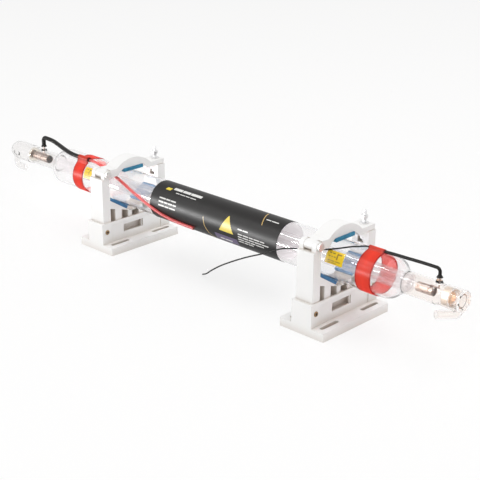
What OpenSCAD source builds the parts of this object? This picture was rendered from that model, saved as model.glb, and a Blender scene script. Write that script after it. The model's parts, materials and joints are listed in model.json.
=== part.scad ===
// CO2 laser tube, 50 mm class, lying in its two moulded supports.
// The tube runs along X with the beam leaving towards +X. Z is up, the bench is z = 0,
// and X = 0 is the middle of the glass.

/* [Glass tube] */
// Outer diameter of the gas jacket
jacket_d = 50; // [46:0.5:54]
// Overall length of the glass, end to end
tube_len = 810; // [790:1:840]
// Height of the tube's axis above the bench
axis_h = 76.2; // [75:0.1:78]
// Wall of the gas jacket
jacket_wall = 2; // [1.5:0.1:2.6]
// Length of the jacket's shoulder at the output end
front_shoulder_len = 24; // [20:0.5:28]
// Length of the jacket's shoulder at the mirror end
rear_shoulder_len = 19; // [16:0.5:24]
// Outer diameter of the water jacket
water_d = 21.2; // [19:0.2:22]
// Wall of the water jacket
water_wall = 1.4; // [1:0.1:1.8]
// Outer diameter of the discharge bore
bore_d = 9; // [7.6:0.1:9.6]
// Wall of the discharge bore
bore_wall = 1.3; // [1:0.1:1.6]
// Diameter of the gas return tube that winds round the water jacket
return_d = 5.2; // [4.4:0.1:5.6]
// Wall of the gas return tube
return_wall = 0.9; // [0.7:0.1:1.1]
// Turns of the gas return tube
return_turns = 5; // [3:1:7]
// Pitch of the gas return tube
return_pitch = 9; // [7:0.5:11]

/* [Output end] */
// Length of the neck and head beyond the jacket
front_end_len = 74; // [72:0.5:80]
// Outer diameter of the neck
front_neck_d = 26; // [25.4:0.1:27]
// Outer diameter of the head that holds the output coupler
front_head_d = 25; // [24.4:0.1:25.4]
// Length of the head
front_head_len = 23; // [22.5:0.5:25]
// Diameter of the output coupler
coupler_d = 18; // [16:0.2:19]
// Thickness of the output coupler
coupler_t = 4; // [3:0.1:4.4]
// Diameter of the beam's way through the coupler's seat and spool
aperture_d = 14; // [11:0.2:14.6]
// Length of the cathode
cathode_len = 21; // [17:0.5:22]
// Diameter of the cathode
cathode_d = 11; // [10.4:0.1:12]
// Distance of the cathode's pin from the end of the glass
cathode_pin_from_end = 33; // [32:0.5:35]

/* [Mirror end] */
// Length of the neck and bulb beyond the jacket
rear_end_len = 115; // [112:0.5:120]
// Outer diameter of the neck
rear_neck_d = 24; // [23.6:0.1:25]
// Outer diameter of the bulb that cools the rear mirror
rear_bulb_d = 27; // [26:0.2:28]
// Length of the bulb, with its domed end
rear_bulb_len = 50; // [48:0.5:51]
// Length of the dome at the end of the bulb
rear_dome_len = 19; // [17:0.5:21]
// Thickness of the rear mirror
mirror_t = 4; // [3:0.1:5]
// Length of the anode
anode_len = 33; // [28:0.5:34]
// Diameter of the anode
anode_d = 12; // [11.4:0.1:13]
// Distance of the anode's pin from the end of the glass
anode_pin_from_end = 76; // [74:0.5:80]

/* [Both ends] */
// Wall of the necks and heads
end_wall = 1.8; // [1.5:0.1:2]
// Outer diameter of the water nozzles
nozzle_d = 9.6; // [9:0.1:10]
// Bore of the water nozzles
nozzle_bore = 6.4; // [5.4:0.1:7]
// Bend radius of the water nozzles
nozzle_bend = 7; // [6.6:0.1:8]
// Length of the straight part of the output end's nozzle
front_nozzle_len = 24; // [20:0.5:28]
// Length of the straight part of the mirror end's nozzle
rear_nozzle_len = 16; // [14:0.5:22]
// Fall of the output end's nozzle towards the middle, in degrees
front_nozzle_fall = 18; // [10:1:24]
// Wall of the electrodes' sheet metal
electrode_wall = 0.6; // [0.4:0.1:0.8]
// Diameter of the electrode pins
pin_d = 1.8; // [1.4:0.1:2.2]

/* [Supports] */
// Distance between the two supports
support_span = 369; // [350:1:380]
// Distance of the output end's support from the end of the glass
support_from_end = 175; // [168:1:180]
// Width of the foot along the tube
foot_w = 67; // [65:0.5:72]
// Length of the foot across the tube
foot_l = 120; // [118:0.5:126]
// Thickness of the foot
foot_t = 10.5; // [9:0.5:12]
// Corner radius of the foot
foot_corner_r = 2; // [1:0.5:4]
// Width of the trough block on the foot
block_w = 30; // [29.5:0.1:32]
// Height of the top of the trough block
block_top = 39.5; // [38.5:0.1:41]
// Width of the cradle along the tube
cradle_w = 25; // [24:0.1:25.4]
// Distance between the outer faces of the cradle's two columns
cradle_l = 111; // [110:0.5:112]
// Thickness of each column
column_t = 12.5; // [11.5:0.1:13.5]
// Height of the top of the columns
column_top = 100; // [99:0.2:101]
// Angle of the cradle faces
cradle_angle = 32.8; // [31:0.1:34]
// Thickness of the cradle pads
pad_t = 4; // [3.4:0.1:4.6]
// Length of each cradle pad up its face
pad_l = 33; // [30:0.5:33.4]
// Width of the mounting slots in the foot
slot_w = 5.5; // [4.5:0.1:6.5]
// Length of the mounting slots, end to end
slot_l = 31; // [26:0.5:33]
// Distance of the mounting slots from the middle of the foot, along the tube
slot_x = 22.5; // [21:0.1:24]
// Distance of the mounting slots' centres from the middle, across the tube
slot_y = 36.5; // [34:0.5:38]
// Diameter of the lock screws
lock_d = 3; // [2.5:0.1:3.6]
// Distance of the lock screws from the cradle's outer faces
lock_inset = 3.5; // [3:0.1:6]

/* [Clamp] */
// Outer radius of the arch over the tube
arch_r = 44; // [43:0.2:45]
// Thickness of the arch's legs
arch_t = 8; // [7:0.2:9]
// Width of the arch along the tube
arch_w = 22; // [20:0.2:24]
// Height of the top pad's seat above the tube's axis
arch_seat = 31.8; // [31:0.1:33]
// Thickness of the lug under the washer
lug_t = 6.5; // [5:0.1:8]
// Width of the top pad across the tube
top_pad_w = 33; // [28:0.5:34]
// Thickness of the top pad
top_pad_t = 4.5; // [3.5:0.1:5]
// Diameter of the hinge knuckles
knuckle_d = 12; // [11:0.1:12.6]
// Distance of the hinge's axis from the tube's axis, across the tube
hinge_y = 46; // [45.5:0.1:47]
// Diameter of the hinge pin and of the clamp stud
stud_d = 5; // [4:0.1:5.4]
// Distance of the clamp stud from the tube's axis, across the tube
stud_y = 49; // [48.6:0.1:49.4]
// Height of the top of the clamp stud above the columns
stud_over = 23; // [20:0.5:27]
// Height of the underside of the clamp nut above the columns
nut_over = 13; // [10:0.5:15]

/* [Label and bands] */
// Length of the black label sleeve
label_len = 225; // [200:1:230]
// Distance of the label's mirror end from the middle of the glass
label_start = 66.5; // [62:0.5:70]
// Thickness of the label sleeve
label_t = 0.25; // [0.15:0.05:0.4]
// Width of the bands
band_w = 21.5; // [18:0.5:24]
// Thickness of the bands
band_t = 0.6; // [0.4:0.1:1]
// Distance of the output end's band from the end of the glass
front_band_from_end = 117; // [112:0.5:125]
// Distance of the mirror end's band from the end of the glass
rear_band_from_end = 186.5; // [175:0.5:195]
// Distance of the output end's sticker from the end of the glass
front_sticker_from_end = 159.5; // [150:0.5:165]
// Distance of the mirror end's sticker from the end of the glass
rear_sticker_from_end = 207; // [205:0.5:215]
// Width of the sticker at the output end
front_sticker_w = 25; // [18:0.5:27]
// Width of the sticker at the mirror end
rear_sticker_w = 16; // [12:0.5:20]
// Height of each sticker round the glass, in degrees
sticker_angle = 36; // [24:1:44]

/* [Leads] */
// Outer diameter of the sleeve on the cathode's lead
cathode_sleeve_d = 3.8; // [3.4:0.1:4]
// Outer diameter of the sleeve on the anode's lead
anode_sleeve_d = 6; // [5.4:0.1:6.2]
// Diameter of the black lead to the cathode
black_lead_d = 1.8; // [1.4:0.1:2]
// Diameter of the red lead to the anode
red_lead_d = 4; // [3.4:0.1:4.2]

/* [Fits] */
// Clearance between glass and what is seated on it or in it
glass_gap = 0.02; // [0.01:0.01:0.05]
// Clearance round a pin or stud in its hole
pin_gap = 0.05; // [0.02:0.01:0.1]
// Clearance between a soft pad and its neighbours
pad_gap = 0.15; // [0.1:0.05:0.25]
// Clearance between moulded parts that meet
mould_gap = 0.25; // [0.15:0.05:0.4]
// Clearance of a sleeve or lead under a band
sleeve_gap = 0.1; // [0.05:0.05:0.2]
// Clearance of the bands on the glass
band_gap = 0.1; // [0.05:0.05:0.2]

/* [Hidden] */
// Overrun of a cutter past the face that it opens
EPS = 0.5;
$fn = 72;

// Radii and stations of the glass, from the middle outwards
jacket_r = jacket_d / 2;
tube_half = tube_len / 2;
front_neck_r = front_neck_d / 2;
front_head_r = front_head_d / 2;
rear_neck_r = rear_neck_d / 2;
rear_bulb_r = rear_bulb_d / 2;
front_neck_x = tube_half - front_end_len;
rear_neck_x = rear_end_len - tube_half;
front_shoulder_x = front_neck_x - front_shoulder_len;
rear_shoulder_x = rear_neck_x + rear_shoulder_len;
front_head_x = tube_half - front_head_len;
rear_bulb_x = rear_bulb_len - tube_half;
rear_dome_x = rear_dome_len - tube_half;
blend_len = 8;
shoulder_steps = 14;
shoulder_bias = 1.35;
collar_len = 4;
water_end_t = 2;
bore_overhang = 10;

// Electrodes and the pieces inside the ends
cathode_pin_x = tube_half - cathode_pin_from_end;
anode_pin_x = anode_pin_from_end - tube_half;
strap_t = 0.8;
strap_w = 2.4;
strap_lap = 5;
cathode_x = cathode_pin_x - cathode_len - 5.5;
anode_x = anode_pin_x - anode_len + 13;
mirror_x = anode_x - 1.5 - mirror_t;
nipple_h = 5.5;
nipple_r = 4;
nipple_top_r = 2.2;
boot_seat_h = axis_h + front_neck_r + nipple_h;
anode_boot_seat_h = axis_h + rear_neck_r + nipple_h;
pin_in_boot = 4;

// Output coupler: seat, disc and cooling spool, one behind the other
seat_t = 4;
seat_x = front_head_x + 0.5;
coupler_x = seat_x + seat_t;
spool_x = coupler_x + coupler_t + glass_gap;
spool_flange_t = 2.5;
spool_wall = 1.2;
rim_notch = 2;
rim_notch_w = 3;
rim_notches = 8;

// Water nozzles
front_nozzle_x = tube_half - 6.5;
front_nozzle_drop = 11.5;
rear_nozzle_x = -tube_half + nozzle_d / 2 + 0.5;
rear_nozzle_drop = 18.6;

// Supports
front_support_x = tube_half - support_from_end;
rear_support_x = front_support_x - support_span;
trough_floor = 14;
trough_w = cradle_w + 2 * mould_gap;
trough_l = cradle_l + 2 * mould_gap;
panel_depth = 0.8;
panel_end = 16;
panel_top = block_top - 4.5;
window_y0 = -22.5;
window_y1 = 8.5;
window_z0 = 20.5;
window_z1 = 31;
window_slot_w = 2;
window_rib = 1;
lock_y = cradle_l / 2 - lock_inset;
lock_z = 27;
lock_head_d = 6.4;
lock_head_t = 2;
lock_sink = 1;
lock_reach = 7;
cradle_foot = trough_floor + 3;
beam_top = 36;
v_floor = 48;
web_t = 3;
pocket_rise = 0.3;
pocket_base = 45;
pockets = [[-6, 6], [13, 24], [35, 43]];
beam_pocket_depth = 6;
beam_pocket_lap = 1.5;
column_inner = cradle_l / 2 - column_t;
// Distance from the tube's axis to the pads and to the faces under them
pad_face = jacket_r + pad_gap;
cradle_face = pad_face + pad_t + pad_gap;

// Clamp
knuckle_r = knuckle_d / 2;
hinge_z = column_top + knuckle_r;
knuckle_w = 6.5;
arch_foot = column_top + mould_gap;
arch_inner = arch_r - arch_t;
hinge_head_d = 9.5;
hinge_head_t = 3;
stud_hole_gap = 0.25;
stud_foot = column_top - 20;
nut_af = 8;
nut_t = 4;
washer_d = 11;
washer_t = 1;
captive_top = column_top - 8.5;
captive_h = 7;
captive_gap = 0.3;

// Label, bands and stickers
skin_r = jacket_r + glass_gap;
front_band_x = tube_half - front_band_from_end;
rear_band_x = rear_band_from_end - tube_half;
front_sticker_x = tube_half - front_sticker_from_end;
rear_sticker_x = rear_sticker_from_end - tube_half;
sticker_low = 8;
sticker_t = 0.15;

// Leads: the sleeves lie on the glass under their bands
cathode_sleeve_r = cathode_sleeve_d / 2;
anode_sleeve_r = anode_sleeve_d / 2;
cathode_ride = jacket_r + cathode_sleeve_r + sleeve_gap;
anode_ride = jacket_r + anode_sleeve_r + sleeve_gap;
anode_lead_angle = 65;
elbow_r = 4.5;
anode_elbow_r = 5.5;
cathode_elbow_z = boot_seat_h + 10.2;
anode_elbow_z = anode_boot_seat_h + 13.8;
boot_flare_r = 3.7;
anode_boot_flare_r = 4.2;
boot_flare_h = 3;

// A point beside the tube: station, angle above -Y and distance from the axis
function beside(x, angle, ride) = [x, -ride * cos(angle), axis_h + ride * sin(angle)];

// Hand-chosen routes of the sleeves and leads
cathode_top = axis_h + cathode_ride;
cathode_sag = cathode_elbow_z - cathode_top;
cathode_sleeve_route = concat(
    [[cathode_pin_x - elbow_r, 0, cathode_elbow_z]],
    [
        for (p = [[9, 1], [16, 1], [24, 0.94], [34, 0.77], [44, 0.59], [54, 0.47], [63, 0.3], [69, 0.12], [75, 0]])
            [cathode_pin_x - p[0], 0, cathode_top + p[1] * cathode_sag]
    ],
    [[front_band_x + 2, 0, cathode_top], [front_band_x - 7, 0, cathode_top]]
);
black_lead_route = [
    [front_band_x - 7, 0, axis_h + cathode_ride],
    [277, 0, axis_h + cathode_ride], [272, -1, 102.8], [265, -5.5, 101.8], [257, -10.4, 100.4],
    [247, -15.6, 97.5], [235, -19.7, 94.1], [221, -22.4, 90.6], [206, -24.2, 87.3],
    [192, -25.5, 84.2], [180, -26.2, 81.8], [170, -26.8, 78.6], [160, -27, 74.2],
    [149, -27.6, 68.4], [136, -28.8, 62.4], [120, -30, 55.4], [104, -30.4, 47.6],
    [86, -30.4, 38], [69, -30, 28.2], [53, -29, 17.4], [40, -26, 8], [27, -20, 1.4],
];
anode_sleeve_route = concat(
    [[anode_pin_x + anode_elbow_r, 0, anode_elbow_z], [anode_pin_x + 11, 0, anode_elbow_z]],
    [
        for (p = [
            [18, 0.5, 0.1], [26, 1.2, 0.5], [35, 2.4, 1.6], [44, 4.1, 2.6], [54, 6.2, 3.5], [65, 8.6, 4.4],
            [76, 10.6, 5.1], [87, 11.7, 5.6],
        ])
            [anode_pin_x + p[0], -p[1], anode_elbow_z - p[2]]
    ],
    [
        for (x = [-12.5, 0.5, band_w / 2 + 1.5])
            beside(rear_band_x + x, anode_lead_angle, anode_ride)
    ]
);
red_lead_route = [
    beside(rear_band_x + band_w / 2 + 1.5, anode_lead_angle, anode_ride),
    beside(-202, anode_lead_angle, anode_ride), beside(-195, 65, 27.8), beside(-187, 63.5, 27.3), beside(-177, 60, 27.3),
    beside(-166, 54.5, 27.3), beside(-155, 49, 27.3), beside(-144, 43.5, 27.3),
    beside(-132, 37, 27.3), beside(-119, 29.5, 27.3), beside(-106, 21, 27.3),
    beside(-94, 13.5, 27.3), beside(-82, 5.5, 27.5), beside(-70, -2.5, 27.5),
    beside(-58, -10.5, 27.6), beside(-45, -19, 27.6), beside(-31, -25.5, 27.6),
    beside(-16, -29, 27.6), beside(0, -30.5, 27.6), beside(15, -31, 27.6),
];

// Turned glass and metal: the profile is [radius, station along X]
module turned(profile) {
    translate([0, 0, axis_h])
        rotate([0, 90, 0])
            rotate_extrude()
                polygon(profile);
}

// A profile in Y and Z, as thick as w along X
module across(w) {
    translate([-w / 2, 0, 0])
        rotate([90, 0, 90])
            linear_extrude(w)
                children();
}

// A disc or ring with its axis along X
module disc(x, w, r) {
    translate([x, 0, axis_h])
        rotate([0, 90, 0])
            cylinder(h = w, r = r);
}

module ring(x, w, r_out, r_in) {
    difference() {
        disc(x, w, r_out);
        disc(x - EPS, w + 2 * EPS, r_in);
    }
}

// A rod along X at a place of its own
module rod_x(x, y, z, w, r) {
    translate([x, y, z])
        rotate([0, 90, 0])
            cylinder(h = w, r = r);
}

// Blown shoulder, from the full radius at x0 to the neck at x1
function shoulder(x0, x1, r0, r1) = [
    for (i = [0 : shoulder_steps])
        let (t = i / shoulder_steps)
        [r1 + (r0 - r1) * (1 + cos(180 * pow(t, shoulder_bias))) / 2, x0 + (x1 - x0) * t]
];
function turned_about(list) = [for (i = [len(list) - 1 : -1 : 0]) list[i]];

module gas_jacket() {
    color("lightcyan", 0.3)
        turned(concat(
            turned_about(shoulder(rear_shoulder_x, rear_neck_x, jacket_r, rear_neck_r)),
            shoulder(front_shoulder_x, front_neck_x, jacket_r, front_neck_r),
            turned_about(shoulder(
                front_shoulder_x - jacket_wall / 2, front_neck_x,
                jacket_r - jacket_wall, front_neck_r - end_wall)),
            shoulder(
                rear_shoulder_x + jacket_wall / 2, rear_neck_x,
                jacket_r - jacket_wall, rear_neck_r - end_wall)
        ));
}

// Water jacket: a closed tube whose end collars are fused into the necks
module water_jacket() {
    r = water_d / 2;
    hole = bore_d / 2 + glass_gap;
    front_collar = front_neck_r - end_wall - glass_gap;
    rear_collar = rear_neck_r - end_wall - glass_gap;
    x0 = rear_neck_x - collar_len;
    x1 = front_neck_x + collar_len;
    bead = 0.6;
    color("azure", 0.4)
        turned([
            [hole, x0], [rear_collar, x0], [rear_collar, rear_neck_x],
            [r - bead, rear_neck_x + collar_len], [r + bead, rear_neck_x + 1.5 * collar_len],
            [r, rear_neck_x + 2 * collar_len],
            [r, front_neck_x - 2.4 * collar_len], [r + bead, front_neck_x - 2 * collar_len],
            [r - bead, front_neck_x - 1.6 * collar_len],
            [front_collar, front_neck_x], [front_collar, x1], [hole, x1],
            [hole, x1 - water_end_t], [front_collar - water_wall, x1 - water_end_t],
            [r - water_wall - bead, front_neck_x - 2 * collar_len],
            [r - water_wall - bead, rear_neck_x + 2 * collar_len],
            [rear_collar - water_wall, x0 + water_end_t], [hole, x0 + water_end_t],
        ]);
}

module discharge_bore() {
    x0 = rear_neck_x - collar_len - bore_overhang;
    x1 = front_neck_x + collar_len + bore_overhang - 2;
    color("azure", 0.5)
        ring(x0, x1 - x0, bore_d / 2, bore_d / 2 - bore_wall);
}

// Rings of a tube swept through a list of points
function unit(v) = v / norm(v);
function heading(p, i) = unit(p[min(i + 1, len(p) - 1)] - p[max(i - 1, 0)]);
function tube_ring(c, dir, r, n) =
    let (
        side = unit(cross(dir, abs(dir.z) > 0.9 ? [0, 1, 0] : [0, 0, 1])),
        up = cross(side, dir)
    )
    [for (k = [0 : n - 1]) c + r * (cos(360 * k / n) * side + sin(360 * k / n) * up)];

module sweep(points, r, n) {
    m = len(points);
    rings = [for (i = [0 : m - 1]) tube_ring(points[i], heading(points, i), r, n)];
    sides = [
        for (i = [0 : m - 2])
            for (k = [0 : n - 1])
                let (a = i * n + k, b = i * n + (k + 1) % n)
                [a, b, b + n, a + n]
    ];
    start = [for (k = [n - 1 : -1 : 0]) k];
    finish = [for (k = [0 : n - 1]) (m - 1) * n + k];
    polyhedron([for (ring = rings) each ring], concat([start], sides, [finish]), 4);
}

// Gas return tube: a hollow helix wound round the water jacket
return_steps = 12;
return_sides = 8;
return_x = -60;
return_gap = 0.75;
return_ride = water_d / 2 + return_d / 2 + return_gap;
return_route = [
    for (i = [0 : return_turns * return_steps])
        let (a = 360 * i / return_steps)
        beside(return_x + return_pitch * i / return_steps, a, return_ride)
];

module pipe(points, r_out, r_in, n) {
    m = len(points);
    skin = [
        for (r = [r_out, r_in])
            for (i = [0 : m - 1])
                each tube_ring(points[i], heading(points, i), r, n)
    ];
    outer = [
        for (i = [0 : m - 2])
            for (k = [0 : n - 1])
                let (a = i * n + k, b = i * n + (k + 1) % n)
                each [[a, b, b + n], [a, b + n, a + n]]
    ];
    inner = [for (f = outer) [f[2], f[1], f[0]] + m * n * [1, 1, 1]];
    last = (m - 1) * n;
    start = [
        for (k = [0 : n - 1])
            let (l = (k + 1) % n)
            each [[l, k, k + m * n], [l, k + m * n, l + m * n]]
    ];
    finish = [for (f = start) [f[2], f[1], f[0]] + last * [1, 1, 1]];
    polyhedron(skin, concat(outer, inner, start, finish), 4);
}

module gas_return_tube() {
    color("azure", 0.5)
        pipe(return_route, return_d / 2, return_d / 2 - return_wall, return_sides);
}

// Fused glass nipple that a pin is sealed through
module nipple(x, neck_r) {
    translate([x, 0, axis_h + neck_r - 2])
        cylinder(h = nipple_h + 2, r1 = nipple_r + 1, r2 = nipple_top_r);
}

// Water nozzle: a quarter bend that comes down to the origin and a straight end along +X
module nozzle(straight, r) {
    rotate([0, 90, 0])
        cylinder(h = straight, r = r);
    translate([0, 0, nozzle_bend])
        rotate([90, 0, 0])
            rotate([0, 0, 180])
                rotate_extrude(angle = 90)
                    translate([nozzle_bend, 0])
                        circle(r = r);
}

// At the output end the bend starts inside the head and the straight end falls
module front_nozzle(r, reach) {
    translate([front_nozzle_x - nozzle_bend, 0, axis_h - front_nozzle_drop])
        rotate([0, 0, 180])
            rotate([0, front_nozzle_fall, 0])
                translate([0, 0, -nozzle_bend])
                    nozzle(front_nozzle_len + reach, r);
}

// At the mirror end a drop leads to the bend
module rear_nozzle(r, reach) {
    translate([rear_nozzle_x, 0, axis_h - rear_nozzle_drop])
        cylinder(h = rear_nozzle_drop, r = r);
    translate([rear_nozzle_x + nozzle_bend, 0, axis_h - rear_nozzle_drop - nozzle_bend])
        nozzle(rear_nozzle_len + reach, r);
}

module front_head() {
    waist = 0.8;
    color("lightcyan", 0.4)
        difference() {
            union() {
                turned([
                    [0, front_neck_x], [front_neck_r, front_neck_x],
                    [front_neck_r, front_head_x - blend_len - 2],
                    [front_head_r - waist, front_head_x - blend_len / 2],
                    [front_head_r - waist, front_head_x - blend_len / 4],
                    [front_head_r, front_head_x], [front_head_r, tube_half], [0, tube_half],
                ]);
                nipple(cathode_pin_x, front_neck_r);
                front_nozzle(nozzle_d / 2, 0);
            }
            turned([
                [0, front_neck_x - EPS], [front_neck_r - end_wall, front_neck_x - EPS],
                [front_neck_r - end_wall, front_head_x - blend_len - 2],
                [front_head_r - waist - end_wall, front_head_x - blend_len / 2],
                [front_head_r - waist - end_wall, front_head_x],
                [front_head_r - end_wall, seat_x],
                [front_head_r - end_wall, tube_half + EPS], [0, tube_half + EPS],
            ]);
            translate([cathode_pin_x, 0, axis_h])
                cylinder(h = front_neck_r + nipple_h + EPS, r = pin_d / 2 + pin_gap);
            front_nozzle(nozzle_bore / 2, EPS);
            for (i = [1 : rim_notches - 1])
                translate([0, 0, axis_h])
                    rotate([i * 360 / rim_notches, 0, 0])
                        translate([tube_half - rim_notch, -rim_notch_w / 2, -2 * front_head_r])
                            cube([rim_notch + EPS, rim_notch_w, 1.5 * front_head_r]);
        }
}

// Stepped seat that carries the output coupler
module coupler_seat() {
    color("gainsboro")
        difference() {
            disc(seat_x, seat_t + coupler_t, front_head_r - end_wall - glass_gap);
            disc(seat_x - EPS, seat_t + 2 * EPS, aperture_d / 2);
            disc(coupler_x, coupler_t + EPS, coupler_d / 2 + glass_gap);
        }
}

module output_coupler() {
    color("darkorange")
        disc(coupler_x + glass_gap, coupler_t - glass_gap, coupler_d / 2);
}

// Spool behind the coupler: cooling water runs round it, the beam goes through it
module cooling_spool() {
    r = front_head_r - end_wall - glass_gap;
    x1 = tube_half - rim_notch - 0.2;
    color("lightcyan", 0.5)
        difference() {
            union() {
                disc(spool_x, spool_flange_t, r);
                disc(spool_x, x1 - spool_x, aperture_d / 2 + spool_wall);
                disc(x1 - 1, 1, r);
            }
            disc(spool_x - EPS, x1 - spool_x + 2 * EPS, aperture_d / 2);
        }
}

module cathode() {
    color("rosybrown")
        ring(cathode_x, cathode_len, cathode_d / 2, cathode_d / 2 - electrode_wall);
}

// Pin with the strap that joins it to its electrode
module electrode_pin(x, strap_x, strap_len, electrode_d, top) {
    z = axis_h + electrode_d / 2 + pin_gap;
    color("dimgray") {
        translate([strap_x, -strap_w / 2, z])
            cube([strap_len, strap_w, strap_t]);
        translate([x, 0, z])
            cylinder(h = top - z, r = pin_d / 2);
    }
}

module cathode_pin() {
    x0 = cathode_x + cathode_len - strap_lap;
    electrode_pin(cathode_pin_x, x0, cathode_pin_x + strap_w / 2 - x0, cathode_d,
        boot_seat_h + pin_in_boot);
}

module anode() {
    color("rosybrown")
        ring(anode_x, anode_len, anode_d / 2, anode_d / 2 - electrode_wall);
}

module anode_pin() {
    electrode_pin(anode_pin_x, anode_pin_x - strap_lap, 2 * strap_lap, anode_d,
        anode_boot_seat_h + pin_in_boot);
}

// Half an ellipse that closes the mirror end's bulb
dome_steps = 12;
function dome(x_full, x_tip, r) = [
    for (i = [0 : dome_steps])
        let (a = 90 * i / dome_steps)
        [r * cos(a), x_full + (x_tip - x_full) * sin(a)]
];

module rear_head() {
    color("lightcyan", 0.4)
        difference() {
            union() {
                turned(concat(
                    [[0, rear_neck_x], [rear_neck_r, rear_neck_x], [rear_neck_r, rear_bulb_x + blend_len]],
                    [[rear_bulb_r - 0.2, rear_bulb_x + blend_len / 4], [rear_bulb_r, rear_bulb_x]],
                    dome(rear_dome_x, -tube_half, rear_bulb_r)
                ));
                nipple(anode_pin_x, rear_neck_r);
                rear_nozzle(nozzle_d / 2, 0);
            }
            turned(concat(
                [[0, rear_neck_x + EPS], [rear_neck_r - end_wall, rear_neck_x + EPS]],
                [[rear_neck_r - end_wall, rear_bulb_x + blend_len]],
                [[rear_bulb_r - end_wall, rear_bulb_x]],
                dome(rear_dome_x, end_wall - tube_half, rear_bulb_r - end_wall)
            ));
            translate([anode_pin_x, 0, axis_h])
                cylinder(h = rear_neck_r + nipple_h + EPS, r = pin_d / 2 + pin_gap);
            rear_nozzle(nozzle_bore / 2, EPS);
        }
}

// Rear mirror, seated in the neck behind the anode
module rear_mirror() {
    color("silver")
        disc(mirror_x, mirror_t, rear_neck_r - end_wall - glass_gap);
}

module label_sleeve() {
    color("#161414")
        ring(-label_start, label_len, skin_r + label_t, skin_r);
}

// Elastic band with a tunnel over the sleeve that it holds.
// It is drawn with the tunnel on top, and turned to the sleeve's angle above -Y.
module band(x, angle, ride, sleeve_r) {
    tunnel = sleeve_r + sleeve_gap;
    color("#e8402a")
        translate([x, 0, axis_h])
            rotate([90 - angle, 0, 0])
                difference() {
                    union() {
                        across(band_w)
                            circle(r = jacket_r + band_gap + band_t);
                        across(band_w)
                            translate([0, ride])
                                circle(r = tunnel + band_t);
                        across(band_w)
                            polygon([
                                [-2.4 * tunnel, jacket_r - 1], [2.4 * tunnel, jacket_r - 1],
                                [tunnel, ride + tunnel / 3], [-tunnel, ride + tunnel / 3],
                            ]);
                    }
                    across(band_w + 2 * EPS)
                        circle(r = jacket_r + band_gap);
                    across(band_w + 2 * EPS)
                        translate([0, ride])
                            circle(r = tunnel);
                    across(band_w + 2 * EPS)
                        translate([-tunnel, ride - 2 * tunnel])
                            square([2 * tunnel, 2 * tunnel]);
                }
}

module front_band() {
    band(front_band_x, 90, cathode_ride, cathode_sleeve_r);
}

module rear_band() {
    band(rear_band_x, anode_lead_angle, anode_ride, anode_sleeve_r);
}

// Sticker on the near side of the glass
module sticker(x, w) {
    color("gold")
        translate([x, 0, axis_h])
            rotate([0, 90, 0])
                rotate([0, 0, 270 - sticker_low - sticker_angle])
                    rotate_extrude(angle = sticker_angle)
                        translate([skin_r, -w / 2])
                            square([sticker_t, w]);
}

module front_sticker() {
    sticker(front_sticker_x, front_sticker_w);
}

module rear_sticker() {
    sticker(rear_sticker_x, rear_sticker_w);
}

// Rubber boot on a pin: a flare, a stem and an elbow towards the middle of the tube
module boot(x, side, seat, flare, r, bend, top) {
    stem = top - bend - seat;
    color("#1b1b1b")
        difference() {
            translate([x, 0, seat])
                union() {
                    cylinder(h = boot_flare_h, r1 = flare, r2 = r);
                    cylinder(h = stem, r = r);
                    translate([side * bend, 0, stem])
                        mirror([side > 0 ? 0 : 1, 0, 0])
                            rotate([90, 0, 0])
                                rotate([0, 0, 90])
                                    rotate_extrude(angle = 90)
                                        translate([bend, 0])
                                            circle(r = r);
                }
            translate([x, 0, seat - EPS])
                cylinder(h = pin_in_boot + EPS + pin_gap, r = pin_d / 2 + pin_gap);
        }
}

module cathode_boot() {
    boot(cathode_pin_x, -1, boot_seat_h, boot_flare_r, cathode_sleeve_r, elbow_r, cathode_elbow_z);
}

module anode_boot() {
    boot(anode_pin_x, 1, anode_boot_seat_h, anode_boot_flare_r, anode_sleeve_r, anode_elbow_r,
        anode_elbow_z);
}

module cathode_sleeve() {
    color("#1b1b1b")
        sweep(cathode_sleeve_route, cathode_sleeve_r, 8);
}

module anode_sleeve() {
    color("#1b1b1b")
        sweep(anode_sleeve_route, anode_sleeve_r, 12);
}

module black_lead() {
    color("#1b1b1b")
        sweep(black_lead_route, black_lead_d / 2, 8);
}

module red_lead() {
    color("#c8202c")
        sweep(red_lead_route, red_lead_d / 2, 12);
}

// Foot: a slotted plate and a trough block, moulded in one
module slot(x, y) {
    ends = (slot_l - slot_w) / 2;
    translate([x, y, -EPS]) {
        for (side = [-1, 1])
            translate([0, side * ends, 0])
                cylinder(h = foot_t + 2 * EPS, d = slot_w);
        translate([-slot_w / 2, -ends, 0])
            cube([slot_w, 2 * ends, foot_t + 2 * EPS]);
    }
}

module foot_plate() {
    x = foot_w / 2 - foot_corner_r;
    y = foot_l / 2 - foot_corner_r;
    for (sx = [-1, 1])
        for (sy = [-1, 1])
            translate([sx * x, sy * y, 0])
                cylinder(h = foot_t, r = foot_corner_r);
    translate([-foot_w / 2, -y, 0])
        cube([foot_w, 2 * y, foot_t]);
    translate([-x, -foot_l / 2, 0])
        cube([2 * x, foot_l, foot_t]);
}

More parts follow.
